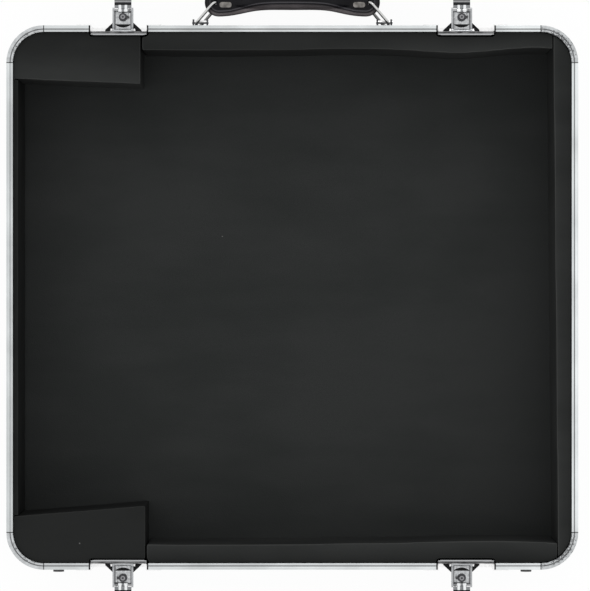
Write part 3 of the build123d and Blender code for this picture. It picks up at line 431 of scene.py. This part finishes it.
# %% Painted shade on the lever, and marks on the lock
crease_from, crease_to, channel_z, flange_z = 6.7 * mm, 7.95 * mm, 83.5 * mm, 84.3 * mm
key_from, key_to = 0.95 * mm, 2.15 * mm


def lever_shade(tree, place, shade):
    """Painted shade in the corners of the channel, and a grey painted shade on the tops of its sides."""
    z = split(tree, place)[2]
    # Painted shade in the corners inside the channel.
    crease = between(tree, from_lever(tree, place), crease_from, crease_to)
    crease = times(tree, crease, below(tree, z, channel_z))
    shade = mark(tree, shade, crease, 0.75, (0.10, 0.10, 0.105))
    # Painted shade on the tops of the sides and the barrel.
    return mark(tree, shade, above(tree, z, flange_z), 0.6, (0.36, 0.37, 0.38))


def lock_marks(tree, place, shade):
    """A bright ring round the keyhole, dark inside and outside."""
    x, y, _ = split(tree, place)
    reach = length(tree, from_centre(tree, x, lever_x), from_centre(tree, y, lock_y))
    dark = minus(tree, 1.0, between(tree, reach, key_from, key_to))
    return mark(tree, shade, dark, 0.9, (0.04, 0.04, 0.042))


lever_plate = plated("lever_plating", (0.50, 0.51, 0.52), 0.26, mottle=0.26, size=520.0, marks_and_shade=lever_shade)
plug_plate = plated("lock_plug_plating", (0.27, 0.27, 0.28), 0.25, marks_and_shade=lock_marks)
print("lever and lock finishes made")

# %% [markdown]
# ## The handle's rings
# The lower leg of each ring lies in the grip's shadow, which is painted on it as a dull tone; the upper leg
# keeps the bright plating.


# %% Rings, with a painted shadow on the lower leg
def ring_shadow(tree, place, shade):
    """A painted shadow of the grip on the lower leg of a ring."""
    # Painted shadow of the grip on the lower leg.
    lower = ramp(tree, split(tree, place)[2], 52 * mm, 57 * mm, 0.75, 0.0)
    return mix_colours(tree, lower, shade, (0.09, 0.09, 0.088))


ring_plate = plated("ring_plating", (0.62, 0.62, 0.61), 0.16, mottle=0.06, depth=0.02 * mm, marks_and_shade=ring_shadow)
print("ring finish made")

# %% [markdown]
# ## The hook's plating and its painted reflections
# Each hook is one pressed piece. Two ribs by its pin carry painted highlights, with dull plating beside
# and between them. Where its plate starts, a black band is a painted dark reflection, and further out
# the plate has a grey painted reflection crossed by a thin painted highlight. The changes lie on
# straight lines along and across the hook, so two distances decide.

# %% Painted highlights on the ribs and painted reflections on one hook's plate
dark_reflection_from, dark_reflection_to, plate_highlight_from, plate_highlight_to = (half_y + v * mm for v in (20.6, 22.9, 23.5, 24.5))
hook_plating, tree, shader, place = start_material("hook_plating", (0.4, 0.4, 0.4), 0.3, 1.0)
out = absolute(tree, split(tree, place)[1])
spots = noise(tree, place, 600.0, 3.0)
ribs = between(tree, from_lever(tree, place), 1.2 * mm, 4.2 * mm)
dull_part = mix_colours(tree, spots, (0.16, 0.165, 0.17), (0.34, 0.35, 0.36))
# Painted highlights on the two ribs.
rib_highlights = mix_colours(tree, ribs, dull_part, (0.86, 0.87, 0.88))
# Painted dark reflection: a black band where the plate starts.
black_reflection = mix_colours(tree, spots, (0.012, 0.012, 0.013), (0.03, 0.03, 0.032))
# Painted dark reflection in grey on the plate further out.
grey_reflection = mix_colours(tree, spots, (0.10, 0.10, 0.105), (0.19, 0.19, 0.20))
shade = mix_colours(tree, above(tree, out, dark_reflection_from), rib_highlights, black_reflection)
shade = mix_colours(tree, ramp(tree, out, dark_reflection_to - 0.4 * mm, dark_reflection_to + 0.2 * mm), shade, grey_reflection)
# A thin painted highlight across the plate.
shade = mark(tree, shade, between(tree, out, plate_highlight_from, plate_highlight_to), 0.7, (0.45, 0.45, 0.46))
set_looks(tree, shader, shade, ramp(tree, out, dark_reflection_from, dark_reflection_to, 0.2, 0.36))
dent(tree, shader, spots, 0.03 * mm)
print("hook finish made")

# %% [markdown]
# ## Board, rubber and plastic
# The walls are thin board under a black laminate pressed with small pebbles, which hides scuffs. The
# feet are moulded rubber and the latch stops moulded plastic: both dull, each with its own fine grain.

# %% Black laminate with a pebbled face
laminate, tree, shader, place = start_material("black_laminate", (0.014, 0.014, 0.015), 0.42, gloss=0.3)
pebbles = cells(tree, place, 520.0, "SMOOTH_F1")
wear = noise(tree, place, 14.0, 5.0)
shade = mix_colours(tree, ramp(tree, wear, 0.45, 0.8), (0.011, 0.011, 0.012), (0.026, 0.026, 0.027))
set_looks(tree, shader, shade, ramp(tree, wear, 0.3, 0.7, 0.36, 0.5))
dent(tree, shader, pebbles, 0.25 * mm)
print("laminate made")


# %% Dull moulded rubber and plastic
def moulded(name, colour, roughness, grain_size, depth):
    """A dull material with a fine grain; grain_size counts the grains along one metre."""
    material, tree, shader, place = start_material(name, colour, roughness, gloss=0.12)
    grain = noise(tree, place, grain_size, 3.0)
    set_looks(tree, shader, mix_colours(tree, grain, scaled(colour, 0.7), scaled(colour, 1.35)))
    dent(tree, shader, grain, depth)
    return material


rubber = moulded("moulded_rubber", (0.075, 0.075, 0.075), 0.75, 1800.0, 0.08 * mm)
stop_plastic = moulded("moulded_plastic", (0.012, 0.012, 0.013), 0.5, 1300.0, 0.05 * mm)
print("rubber and plastic made")

# %% [markdown]
# ## Finishes onto the CAD nodes
# A CAD node keeps its mesh, and its finish goes into its material slots. One table says which finish
# each node takes, by the start of its name. Where two starts fit a name, the longer one holds.

# %% Give every hard node its finish
finishes = {
    "floor_panel": laminate, "front_wall": laminate, "back_wall": laminate,
    "left_wall": laminate, "right_wall": laminate,
    "corner_posts": aluminium_z, "rim_rail_": aluminium_y, "rim_rails_": aluminium_x,
    "rim_corners": bent_aluminium, "base_rails": aluminium_x, "base_corners": bent_aluminium,
    "underside_feet": rubber, "standing_feet": rubber, "foot_screws": zinc_plate,
    "handle_brackets": dark_plate, "handle_bracket_bars": bar_plate,
    "handle_ring": ring_plate, "handle_end_plates": end_plate,
    "latch_pan": pan_plate, "latch_stops": stop_plastic, "latch_hinge_pins": pin_plate,
    "latch_lever": lever_plate, "lock_housing": nut_plate,
    "lock_plug": plug_plate, "latch_hook": hook_plating, "hook_pin": pin_plate,
}
left_over = []
for node_name, node in nodes.items():
    starts = [start for start in finishes if node_name.startswith(start)]
    if starts:
        node.data.materials.clear()
        node.data.materials.append(finishes[max(starts, key=len)])
    else:
        left_over.append(node_name)
print("left for new pieces:", sorted(left_over))

# %% [markdown]
# ## Foam
# The lining is closed-cell foam, cut with a knife and glued in. Cut foam has faint open pores, a
# cloudy tone where it has been pressed, and a little dust, and its edges get a painted highlight. That
# highlight comes from the surface's own direction: where it points half up and half sideways, it is an edge.


# %% The foam's finish
def cut_edges(tree):
    """A mask of the places that face half up and half sideways."""
    facing = add_node(tree, "ShaderNodeTexCoord").outputs["Normal"]
    up = absolute(tree, split(tree, facing)[2])
    return times(tree, ramp(tree, up, 0.2, 0.6), ramp(tree, up, 0.8, 0.98, 1.0, 0.0))


def foam_finish(name, dark, light, edge_highlight):
    """Matt foam between two tones, with a painted highlight in the last tone on its cut edges."""
    material, tree, shader, place = start_material(name, light, 0.95, gloss=0.06)
    clouds = noise(tree, place, 7.0, 5.0)
    rubbed = noise(tree, stretched(tree, place, (9, 30, 30)), 1.0, 5.0)
    tone = mix_colours(tree, ramp(tree, maths(tree, "ADD", clouds, rubbed), 0.8, 1.2), dark, light)
    # Painted highlight on the cut edges.
    tone = mix_colours(tree, cut_edges(tree), tone, edge_highlight)
    # Painted light and shade, stored at each point of the mesh.
    painted_lift = ramp(tree, stored(tree, "painted_light"), -1.0, 1.0, 0.3, 1.7)
    tone = add_node(tree, "ShaderNodeVectorMath", {0: tone, "Scale": painted_lift}, operation="SCALE").outputs[0]
    dust = below(tree, cells(tree, place, 11.0), 0.010)
    set_looks(tree, shader, mark(tree, tone, dust, 0.3, (0.30, 0.30, 0.29)))
    pores, fine = cells(tree, place, 900.0), noise(tree, place, 260.0, 5.0)
    dent(tree, shader, maths(tree, "ADD", pores, fine), 0.14 * mm)
    return material


wall_foam = foam_finish(
    "wall_foam", (0.0142, 0.0150, 0.0147), (0.0185, 0.0194, 0.0190), (0.032, 0.033, 0.032)
)
floor_foam = foam_finish(
    "floor_foam", (0.0200, 0.0216, 0.0211), (0.0246, 0.0260, 0.0256), (0.030, 0.031, 0.030)
)
print("foam finishes made")

# %% [markdown]
# ## Cut foam pieces
# A knife-cut slab is nearly a block, but none of its faces is quite flat and its edges are soft. Each
# piece starts as a copy of its CAD solid. A voxel remesh gives it an even skin of small faces, a
# smoothing pass rounds the edges by about a voxel, and a slow noise moves the skin inward.


# %% Turn a CAD solid into a soft-edged piece
def plain_mesh(piece):
    """Applies every modifier of a piece by taking its evaluated mesh."""
    seen = piece.evaluated_get(bpy.context.evaluated_depsgraph_get())
    made = bpy.data.meshes.new_from_object(seen)
    piece.modifiers.clear()
    piece.data = made


def soft_copy(name, node, voxel, rounds):
    """A merged, remeshed and smoothed copy of a node's mesh."""
    piece = bpy.data.objects.new(name, nodes[node].data.copy())
    bpy.context.scene.collection.objects.link(piece)
    skin = bmesh.new()
    skin.from_mesh(piece.data)
    bmesh.ops.remove_doubles(skin, verts=skin.verts, dist=0.01 * mm)
    skin.to_mesh(piece.data)
    skin.free()
    remesh = piece.modifiers.new("remesh", "REMESH")
    remesh.mode, remesh.voxel_size, remesh.use_smooth_shade = "VOXEL", voxel, True
    smooth = piece.modifiers.new("smooth", "SMOOTH")
    smooth.iterations, smooth.factor = rounds, 0.5
    plain_mesh(piece)
    piece.data.materials.clear()
    return piece


def rows_of(items, field, count):
    """One field of a mesh's points, as rows of three numbers."""
    rows = np.empty(count * 3)
    items.foreach_get(field, rows)
    return rows.reshape(-1, 3)


def points_and_normals(mesh):
    """Where a mesh's points lie and which way the surface faces there."""
    count = len(mesh.vertices)
    return rows_of(mesh.vertices, "co", count), rows_of(mesh.vertex_normals, "vector", count)


def set_points(mesh, rows):
    """Moves every point to its row."""
    mesh.vertices.foreach_set("co", rows.ravel())
    mesh.update()


def store(mesh, name, values):
    """Stores one number at each point of a mesh."""
    mesh.attributes.new(name, "FLOAT", "POINT").data.foreach_set("value", values)


# %% [markdown]
# ## Painted light on the foam
# The tops of the front, back and right strips and of the front left block carry painted light, lighter
# towards their inner edges and darker towards the rim. The left lining and the back left block are
# darker all over. That follows each piece's own edge, which isn't straight, so every point stores its
# painted light and the finish reads it.

# %% How much painted light each point of the foam takes
X, Y, Z = 0, 1, 2
block_depth, strip_depth, right_fade = 46 * mm, 15 * mm, 4.5 * mm
light_from, light_over, slice_length = 20 * mm, 140 * mm, 2 * mm


def behind_inner_edge(rows, along, across, side):
    """How far each point lies behind a piece's inner edge, found in short slices along the piece."""
    slices = ((rows[:, along] - rows[:, along].min()) / slice_length).astype(int)
    edge = np.full(slices.max() + 1, np.inf)
    np.minimum.at(edge, slices, side * rows[:, across])
    return side * rows[:, across] - edge[slices]


def painted_light_marks(node, rows):
    """From 1, painted lighter, to -1, painted darker."""
    if node == "front_left_foam_block":
        return 0.75 - 1.25 * behind_inner_edge(rows, X, Y, 1) / block_depth
    if node == "front_foam_strip":
        share = np.clip((rows[:, X] - light_from) / light_over, 0, 1)
        return share * (0.72 - 1.0 * behind_inner_edge(rows, X, Y, 1) / strip_depth) - 0.04
    if node == "back_foam_strip":
        return 0.68 - 0.8 * behind_inner_edge(rows, X, Y, -1) / strip_depth
    if node == "right_foam_strip":
        return 0.75 * np.exp(-behind_inner_edge(rows, Y, X, 1) / right_fade) + 0.05
    even = {"back_left_foam_block": -0.22, "left_foam_lining": -0.35}
    return np.full(len(rows), even.get(node, 0.0))


# %% Make the seven foam pieces
foam_pieces = {
    "foam_floor": ("floor_foam", 3.0), "foam_strip_front": ("front_foam_strip", 1.4),
    "foam_strip_back": ("back_foam_strip", 1.4), "foam_strip_right": ("right_foam_strip", 1.4),
    "foam_lining_left": ("left_foam_lining", 1.1),
    "foam_block_front_left": ("front_left_foam_block", 1.1),
    "foam_block_back_left": ("back_left_foam_block", 1.1),
}
for name, (node, voxel) in foam_pieces.items():
    piece = soft_copy(name, node, voxel * mm, 2)
    rows, facing = points_and_normals(piece.data)
    slow = np.sin(rows[:, X] * 61 + 1.3) * np.sin(rows[:, Y] * 53 + 0.4)
    slow += 0.6 * np.sin(rows[:, Z] * 170 + rows[:, X] * 90)
    set_points(piece.data, rows - facing * (0.12 + 0.12 * slow)[:, None] * mm)
    # Stores the painted light and shade for the finish.
    store(piece.data, "painted_light", np.clip(painted_light_marks(node, rows), -1, 1))
    piece.data.materials.append(floor_foam if node == "floor_foam" else wall_foam)
    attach(piece, "case")
    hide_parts(node)
    print(name, len(piece.data.polygons), "faces")

# %% [markdown]
# ## Rivets
# Blind rivets hold rails to boards, so their domed heads repeat along every edge. They follow a rule:
# a list of places and the way that each faces. Geometry Nodes put one head on every place. The head is
# a sphere, squashed, cut flat behind, with the dimple that the snapped mandrel leaves in its middle.


# %% Where the rivets sit and which way they face
def spread(reach, count):
    """Even places from -reach to reach."""
    return [reach * (2 * i / (count - 1) - 1) for i in range(count)]


rim_z, base_z, pan_low_z, bracket_z = 96 * mm, 20 * mm, 63.5 * mm, 55 * mm
outer_rail_x, middle_rail_x, base_x = 211.25 * mm, 90 * mm, 200 * mm
rim_y, base_y = 170 * mm, 187.5 * mm
pan_rivet_x, bracket_x, bracket_rivet_x = 32.5 * mm, 85 * mm, 13 * mm
pan_face, bracket_face = half_y + 0.9 * mm, half_y + 0.4 * mm
rivet_places = []
for side in (1, -1):
    for x in (-outer_rail_x, -middle_rail_x, 0, middle_rail_x, outer_rail_x):
        rivet_places.append(((x, side * half_y, rim_z), (0, side, 0)))
    for x in spread(base_x, 5):
        rivet_places.append(((x, side * half_y, base_z), (0, side, 0)))
    for y in spread(rim_y, 4):
        rivet_places.append(((side * half_x, y, rim_z), (side, 0, 0)))
    for y in spread(base_y, 5):
        rivet_places.append(((side * half_x, y, base_z), (side, 0, 0)))
    for pan_x in (-latch_x, latch_x):
        for x in (pan_x - pan_rivet_x, pan_x + pan_rivet_x):
            for z in (pan_low_z, rim_z):
                rivet_places.append(((x, side * pan_face, z), (0, side, 0)))
for middle_x in (-bracket_x, bracket_x):
    for x in (middle_x - bracket_rivet_x, middle_x + bracket_rivet_x):
        rivet_places.append(((x, bracket_face, bracket_z), (0, 1, 0)))
print("rivets", len(rivet_places))

# %% [markdown]
# ## Helpers for Geometry Nodes
# A geometry tree is built like a material's tree: nodes, joined from inputs to outputs. It takes a
# small mesh of points, puts its shape on each of them, and ends in real faces with a finish on them.
# Its sizes are named inputs, so that they can be changed in one place. A way to face or a turn is
# stored on each point as a vector.


# %% Start, end and grow a geometry tree
def start_tree(name, sizes):
    """A geometry tree with named number inputs and its group input and output nodes."""
    tree = bpy.data.node_groups.new(name, "GeometryNodeTree")
    tree.interface.new_socket("Geometry", in_out="INPUT", socket_type="NodeSocketGeometry")
    for size, value in sizes.items():
        socket = tree.interface.new_socket(size, in_out="INPUT", socket_type="NodeSocketFloat")
        socket.default_value = value
    tree.interface.new_socket("Geometry", in_out="OUTPUT", socket_type="NodeSocketGeometry")
    return tree, tree.nodes.new("NodeGroupInput"), tree.nodes.new("NodeGroupOutput")


def stored_vector(tree, name):
    """The vector that each point stores under a name."""
    return add_node(
        tree, "GeometryNodeInputNamedAttribute", {"Name": name}, data_type="FLOAT_VECTOR"
    ).outputs[0]


def end_tree(tree, given, shape, turn, finish, output):
    """The shape on every given point, realized and with its finish: what every tree ends in."""
    sockets = {"Points": given.outputs["Geometry"], "Instance": shape, "Rotation": turn}
    on_points = add_node(tree, "GeometryNodeInstanceOnPoints", sockets).outputs[0]
    whole = add_node(tree, "GeometryNodeRealizeInstances", {0: on_points}).outputs[0]
    dressed = add_node(tree, "GeometryNodeSetMaterial", {0: whole, "Material": finish}).outputs[0]
    tree.links.new(dressed, output.inputs[0])


def grow(name, places, vector_name, vectors, tree):
    """A plain mesh grown by a tree from points, each of which stores a vector."""
    seeds = bpy.data.meshes.new(f"{name}_places")
    seeds.from_pydata(places, [], [])
    rows = seeds.attributes.new(vector_name, "FLOAT_VECTOR", "POINT")
    rows.data.foreach_set("vector", [v for vector in vectors for v in vector])
    piece = bpy.data.objects.new(name, seeds)
    bpy.context.scene.collection.objects.link(piece)
    piece.modifiers.new("grow", "NODES").node_group = tree
    plain_mesh(piece)
    return piece


# %% Grow the rivets
head_sizes = {
    "Head radius": 3 * mm, "Head height": 1.1 * mm, "Dimple radius": 1.0 * mm, "Dimple depth": 0.45 * mm
}
tree, given, output = start_tree("rivet_heads", head_sizes)
head_r, head_height, dimple_r, dimple_depth = (given.outputs[size] for size in head_sizes)
ball = add_node(tree, "GeometryNodeMeshUVSphere", {"Segments": 20, "Rings": 14, "Radius": head_r})
x, y, z = split(tree, add_node(tree, "GeometryNodeInputPosition").outputs[0])
dome = larger(tree, times(tree, z, maths(tree, "DIVIDE", head_height, head_r)), 0.0)
dimple = times(tree, below(tree, length(tree, x, y), dimple_r), dimple_depth)
rise = larger(tree, minus(tree, dome, dimple), 0.0)
shape = add_node(tree, "ShaderNodeCombineXYZ", {0: x, 1: y, 2: rise}).outputs[0]
head = add_node(tree, "GeometryNodeSetPosition", {0: ball.outputs[0], "Position": shape}).outputs[0]
head = add_node(tree, "GeometryNodeSetShadeSmooth", {0: head}).outputs[0]
turn = add_node(tree, "FunctionNodeAlignEulerToVector", {"Vector": stored_vector(tree, "out")}, axis="Z")
end_tree(tree, given, head, turn.outputs[0], zinc_plate, output)

places, ways = [place for place, _ in rivet_places], [way for _, way in rivet_places]
rivet_heads = grow("rivet_heads", places, "out", ways, tree)
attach(rivet_heads, "case")
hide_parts("rivets")
print("rivet faces", len(rivet_heads.data.polygons))

# %% [markdown]
# ## Hook springs
# A small torsion spring on each hook's pin holds the hook in line. It is a helix of wire, so Geometry
# Nodes draw a spiral, turn it to lie along the pin and sweep a round wire along it. The leg that lies
# on the lever is a short straight wire. One tree serves all four, from one point for each spring.

# %% The springs' tree
coil_r, leg_length = 1.65 * mm, 3.3 * mm
spring_tree, given, output = start_tree(
    "hook_spring", {"Coil radius": coil_r, "Wire radius": 0.25 * mm, "Width": 2.2 * mm, "Turns": 4.0}
)
coil = add_node(
    spring_tree, "GeometryNodeCurveSpiral",
    {"Resolution": 28, "Rotations": given.outputs["Turns"], "Start Radius": given.outputs["Coil radius"],
     "End Radius": given.outputs["Coil radius"], "Height": given.outputs["Width"]},
).outputs[0]
coil = add_node(spring_tree, "GeometryNodeTransform", {0: coil, "Rotation": (0, math.pi / 2, 0)}).outputs[0]
wire = add_node(
    spring_tree, "GeometryNodeCurvePrimitiveCircle", {"Resolution": 8, "Radius": given.outputs["Wire radius"]}
).outputs[0]
leg_start, leg_end = (0, 0, -coil_r), (0, -leg_length, -coil_r)
leg = add_node(
    spring_tree, "GeometryNodeCurvePrimitiveLine", {"Start": leg_start, "End": leg_end}
).outputs[0]
paths = add_node(spring_tree, "GeometryNodeJoinGeometry", {0: coil})
spring_tree.links.new(leg, paths.inputs[0])
swept = add_node(spring_tree, "GeometryNodeCurveToMesh", {0: paths.outputs[0], 1: wire, 2: True}).outputs[0]
swept = add_node(spring_tree, "GeometryNodeSetShadeSmooth", {0: swept}).outputs[0]
end_tree(spring_tree, given, swept, stored_vector(spring_tree, "turn"), pin_plate, output)
print("spring tree of", len(spring_tree.nodes), "nodes")

# %% Grow the four springs
for tag in ("front_left", "front_right", "back_left", "back_right"):
    low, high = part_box(f"hook_spring_{tag}")
    pin = middle_of(f"hook_pin_{tag}")
    in_front = pin.y > 0
    start_x = low.x + 0.3 * mm if in_front else high.x - 0.3 * mm
    turn = (0, 0, 0 if in_front else math.pi)
    spring = grow(f"coil_spring_{tag}", [(start_x, pin.y, pin.z)], "turn", [turn], spring_tree)
    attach(spring, f"lever_{tag}")
    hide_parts(f"hook_spring_{tag}")
print("springs made")

# %% [markdown]
# ## The grip's leather
# The grip is covered in black leather-look. A broad moulded band in a greyer tone runs along its sides
# and fades out round the lobes, with a painted sheen along the middle of its upper slope, and a raised
# line with a painted highlight on top parts it from the black. Both marks are stored on the mesh as
# attributes, because they follow the grip's outline and not a straight line in space.

# %% The grip's finish
leather, tree, shader, place = start_material("grip_leather", (0.02, 0.02, 0.02), 0.4, gloss=0.14)
band_and_sheen, ridge_highlight_mask = stored(tree, "band"), stored(tree, "ridge_highlight")
creases = cells(tree, place, 700.0, "DISTANCE_TO_EDGE")
wear = noise(tree, place, 60.0, 4.0)
top_tone = mix_colours(tree, ramp(tree, wear, 0.35, 0.7), (0.002, 0.002, 0.003), (0.008, 0.008, 0.010))
# The band's tone, which also carries a painted sheen.
band_and_sheen_tone = mix_colours(tree, ramp(tree, wear, 0.3, 0.7), (0.12, 0.108, 0.112), (0.20, 0.18, 0.186))
shade = mix_colours(tree, band_and_sheen, top_tone, band_and_sheen_tone)
# Painted highlight on top of the raised line.
shade = mix_colours(tree, ridge_highlight_mask, shade, (0.11, 0.105, 0.115))
set_looks(tree, shader, shade, ramp(tree, band_and_sheen, 0, 1, 0.34, 0.5))
dent(tree, shader, ramp(tree, creases, 0.0, 0.25), 0.08 * mm)
print("leather made")

# %% [markdown]
# ## The padded grip
# The pad is foam under a tight cover, moulded with a raised line near its edge. The piece is a fine
# remesh of the CAD grip, so the slots for the rings stay. Each point then moves by its distance from
# the outline: the band slopes down to the edge, the line stands up and the groove outside it sinks.


# %% Distance inside the grip's outline
lobe_x, lobe_y, lobe_r = 68 * mm, half_y + 25.2 * mm, 13 * mm


def inside_outline(rows):
    """From the sides between the lobes' middles, and from the round ends beyond them."""
    x, y = rows[:, X], rows[:, Y]
    reach, count = 90 * mm, 180
    slices = np.clip(((x + reach) / (2 * reach / count)).astype(int), 0, count - 1)
    near, far = np.full(count, np.inf), np.full(count, -np.inf)
    np.minimum.at(near, slices, y)
    np.maximum.at(far, slices, y)
    from_side = np.minimum(y - near[slices], far[slices] - y)
    from_round = lobe_r - np.hypot(np.abs(x) - lobe_x, y - lobe_y)
    return np.where(np.abs(x) > lobe_x, from_round, from_side)


def bell(distance, width):
    """1 where the distance is 0, falling away over the width."""
    return np.exp(-((distance / width) ** 2))


# %% Shape the grip
grip = soft_copy("padded_grip", "handle_grip", 0.6 * mm, 4)
rows, facing = points_and_normals(grip.data)
grip_z, from_middle, waist_reach = middle_of("handle_grip").z, np.abs(rows[:, X]), 56 * mm
inside = inside_outline(rows)
band = (4.2 + 1.6 * np.sqrt(np.clip(1 - from_middle / waist_reach, 0, 1))) * mm
line = bell(inside - band - 0.5 * mm, 0.55 * mm)
groove = bell(inside - band + 0.7 * mm, 0.6 * mm)
slope = np.clip(inside / band, 0, 1)
height = rows[:, Z] - grip_z
rows[:, Z] = grip_z + height * (0.45 + 0.55 * np.sin(slope * math.pi / 2))
flat_share = np.clip(np.abs(facing[:, Z]) * 2, 0, 1)
rows[:, Z] += np.sign(height) * (0.30 * line - 0.45 * groove) * mm * flat_share
set_points(grip.data, rows)
print("grip shaped from", len(rows), "points")

# %% Store the band with its painted sheen, and the raised line's painted highlight, and hand the grip over
band_end, band_fade = 79 * mm, 6 * mm
fade = np.clip((band_end - from_middle) / band_fade, 0, 1)
# The band and its painted sheen fade out on faces that turn down.
upper = np.clip(facing[:, Z] * 2.5 + 0.6, 0, 1)
# Painted sheen along the middle of the band.
painted_sheen = 0.35 + 0.65 * bell(inside - 0.45 * band, 0.3 * band)
on_band = np.clip((band - 0.4 * mm - inside) / (1.6 * mm), 0, 1)
store(grip.data, "band", fade * upper * painted_sheen * on_band)
# Painted highlight on the raised line's upward faces.
store(grip.data, "ridge_highlight", 0.75 * fade * line * np.clip(facing[:, Z], 0, 1))
grip.data.materials.append(leather)
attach(grip, "handle")
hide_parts("handle_grip")
print("grip faces", len(grip.data.polygons))

# %% [markdown]
# ## The floor and the light
# The case stands on a pale floor. For camera and mirror rays the floor and the world are plain white,
# and the floor still takes the case's shadow. The light is a soft dome, stronger overhead than
# at the horizon: flat foam comes out about as its colour is written, and the foot of a foam wall and the
# floor beside it, which see less of the dome, grow darker over a hand's width. A narrow lamp past the
# handle draws the gloss on the leather.


# %% Floor and world
def any_ray(tree, kinds):
    """1 for rays of the given kinds, which see plain white, and 0 for those that carry light."""
    rays = tree.nodes.new("ShaderNodeLightPath").outputs
    mask = rays[f"Is {kinds[0]} Ray"]
    for kind in kinds[1:]:
        mask = larger(tree, mask, rays[f"Is {kind} Ray"])
    return mask


white, reach = (1, 1, 1, 1), 8
floor_paint, tree, shader, _ = start_material("studio_floor", (0.9, 0.9, 0.9), 0.8)
plain = any_ray(tree, ("Camera", "Glossy"))
glow = add_node(tree, "ShaderNodeEmission", {"Color": white, "Strength": 1.0}).outputs[0]
both = add_node(tree, "ShaderNodeMixShader", {0: times(tree, plain, 0.93), 1: shader.outputs[0], 2: glow})
tree.links.new(both.outputs[0], tree.nodes["Material Output"].inputs["Surface"])
floor_mesh = bpy.data.meshes.new("studio_floor")
floor_mesh.from_pydata(
    [(-reach, -reach, 0), (reach, -reach, 0), (reach, reach, 0), (-reach, reach, 0)], [], [(0, 1, 2, 3)]
)
floor = bpy.data.objects.new("studio_floor", floor_mesh)
bpy.context.scene.collection.objects.link(floor)
floor.data.materials.append(floor_paint)

world = bpy.data.worlds.new("studio")
bpy.context.scene.world = world
world.use_nodes = True
tree = world.node_tree
plain = any_ray(tree, ("Camera", "Glossy", "Transmission"))
dome = tree.nodes["Background"]
dome.inputs["Color"].default_value = white
way = tree.nodes.new("ShaderNodeTexCoord").outputs["Generated"]
overhead = ramp(tree, split(tree, way)[2], 0.15, 0.85, 0.52, 1.40)
lit = maths(tree, "ADD", times(tree, overhead, minus(tree, 1.0, plain)), plain)
tree.links.new(lit, dome.inputs["Strength"])
print("floor and dome made")

# %% [markdown]
# ## The lamp and the camera
# The camera looks straight down from high above, a little off the case's middle. How high it is says
# how much the deep parts shrink in the picture. The scale at the rim and the picture's size in pixels
# then give the length of its lens.

# %% Lamp and camera
lamp_place, lamp_aim = Vector((0.3, 2.6, 2.3)), Vector((0, 0.25, 0.05))
lamp = bpy.data.lights.new("gloss_softbox", "AREA")
lamp.shape, lamp.size, lamp.energy = "SQUARE", 0.7, 7
holder = bpy.data.objects.new("gloss_softbox", lamp)
holder.location = lamp_place
holder.rotation_mode = "QUATERNION"
holder.rotation_quaternion = (lamp_aim - lamp_place).to_track_quat("-Z", "Y")
bpy.context.scene.collection.objects.link(holder)

pixels_per_metre, picture_pixels, sensor_mm = 1.10 / mm, 591, 36
right_pixels, front_pixels, above_rim = 2.7, 2.0, 3.3
camera = bpy.data.objects.new("camera", bpy.data.cameras.new("camera"))
camera.data.sensor_width = sensor_mm
camera.data.lens = sensor_mm * above_rim * pixels_per_metre / picture_pixels
camera.data.clip_end = 50
camera.location = (right_pixels / pixels_per_metre, front_pixels / pixels_per_metre, rim_top + above_rim)
bpy.context.scene.collection.objects.link(camera)
bpy.context.scene.camera = camera
bpy.context.scene.view_settings.view_transform = "Standard"
print("lens", round(camera.data.lens, 1), "mm")
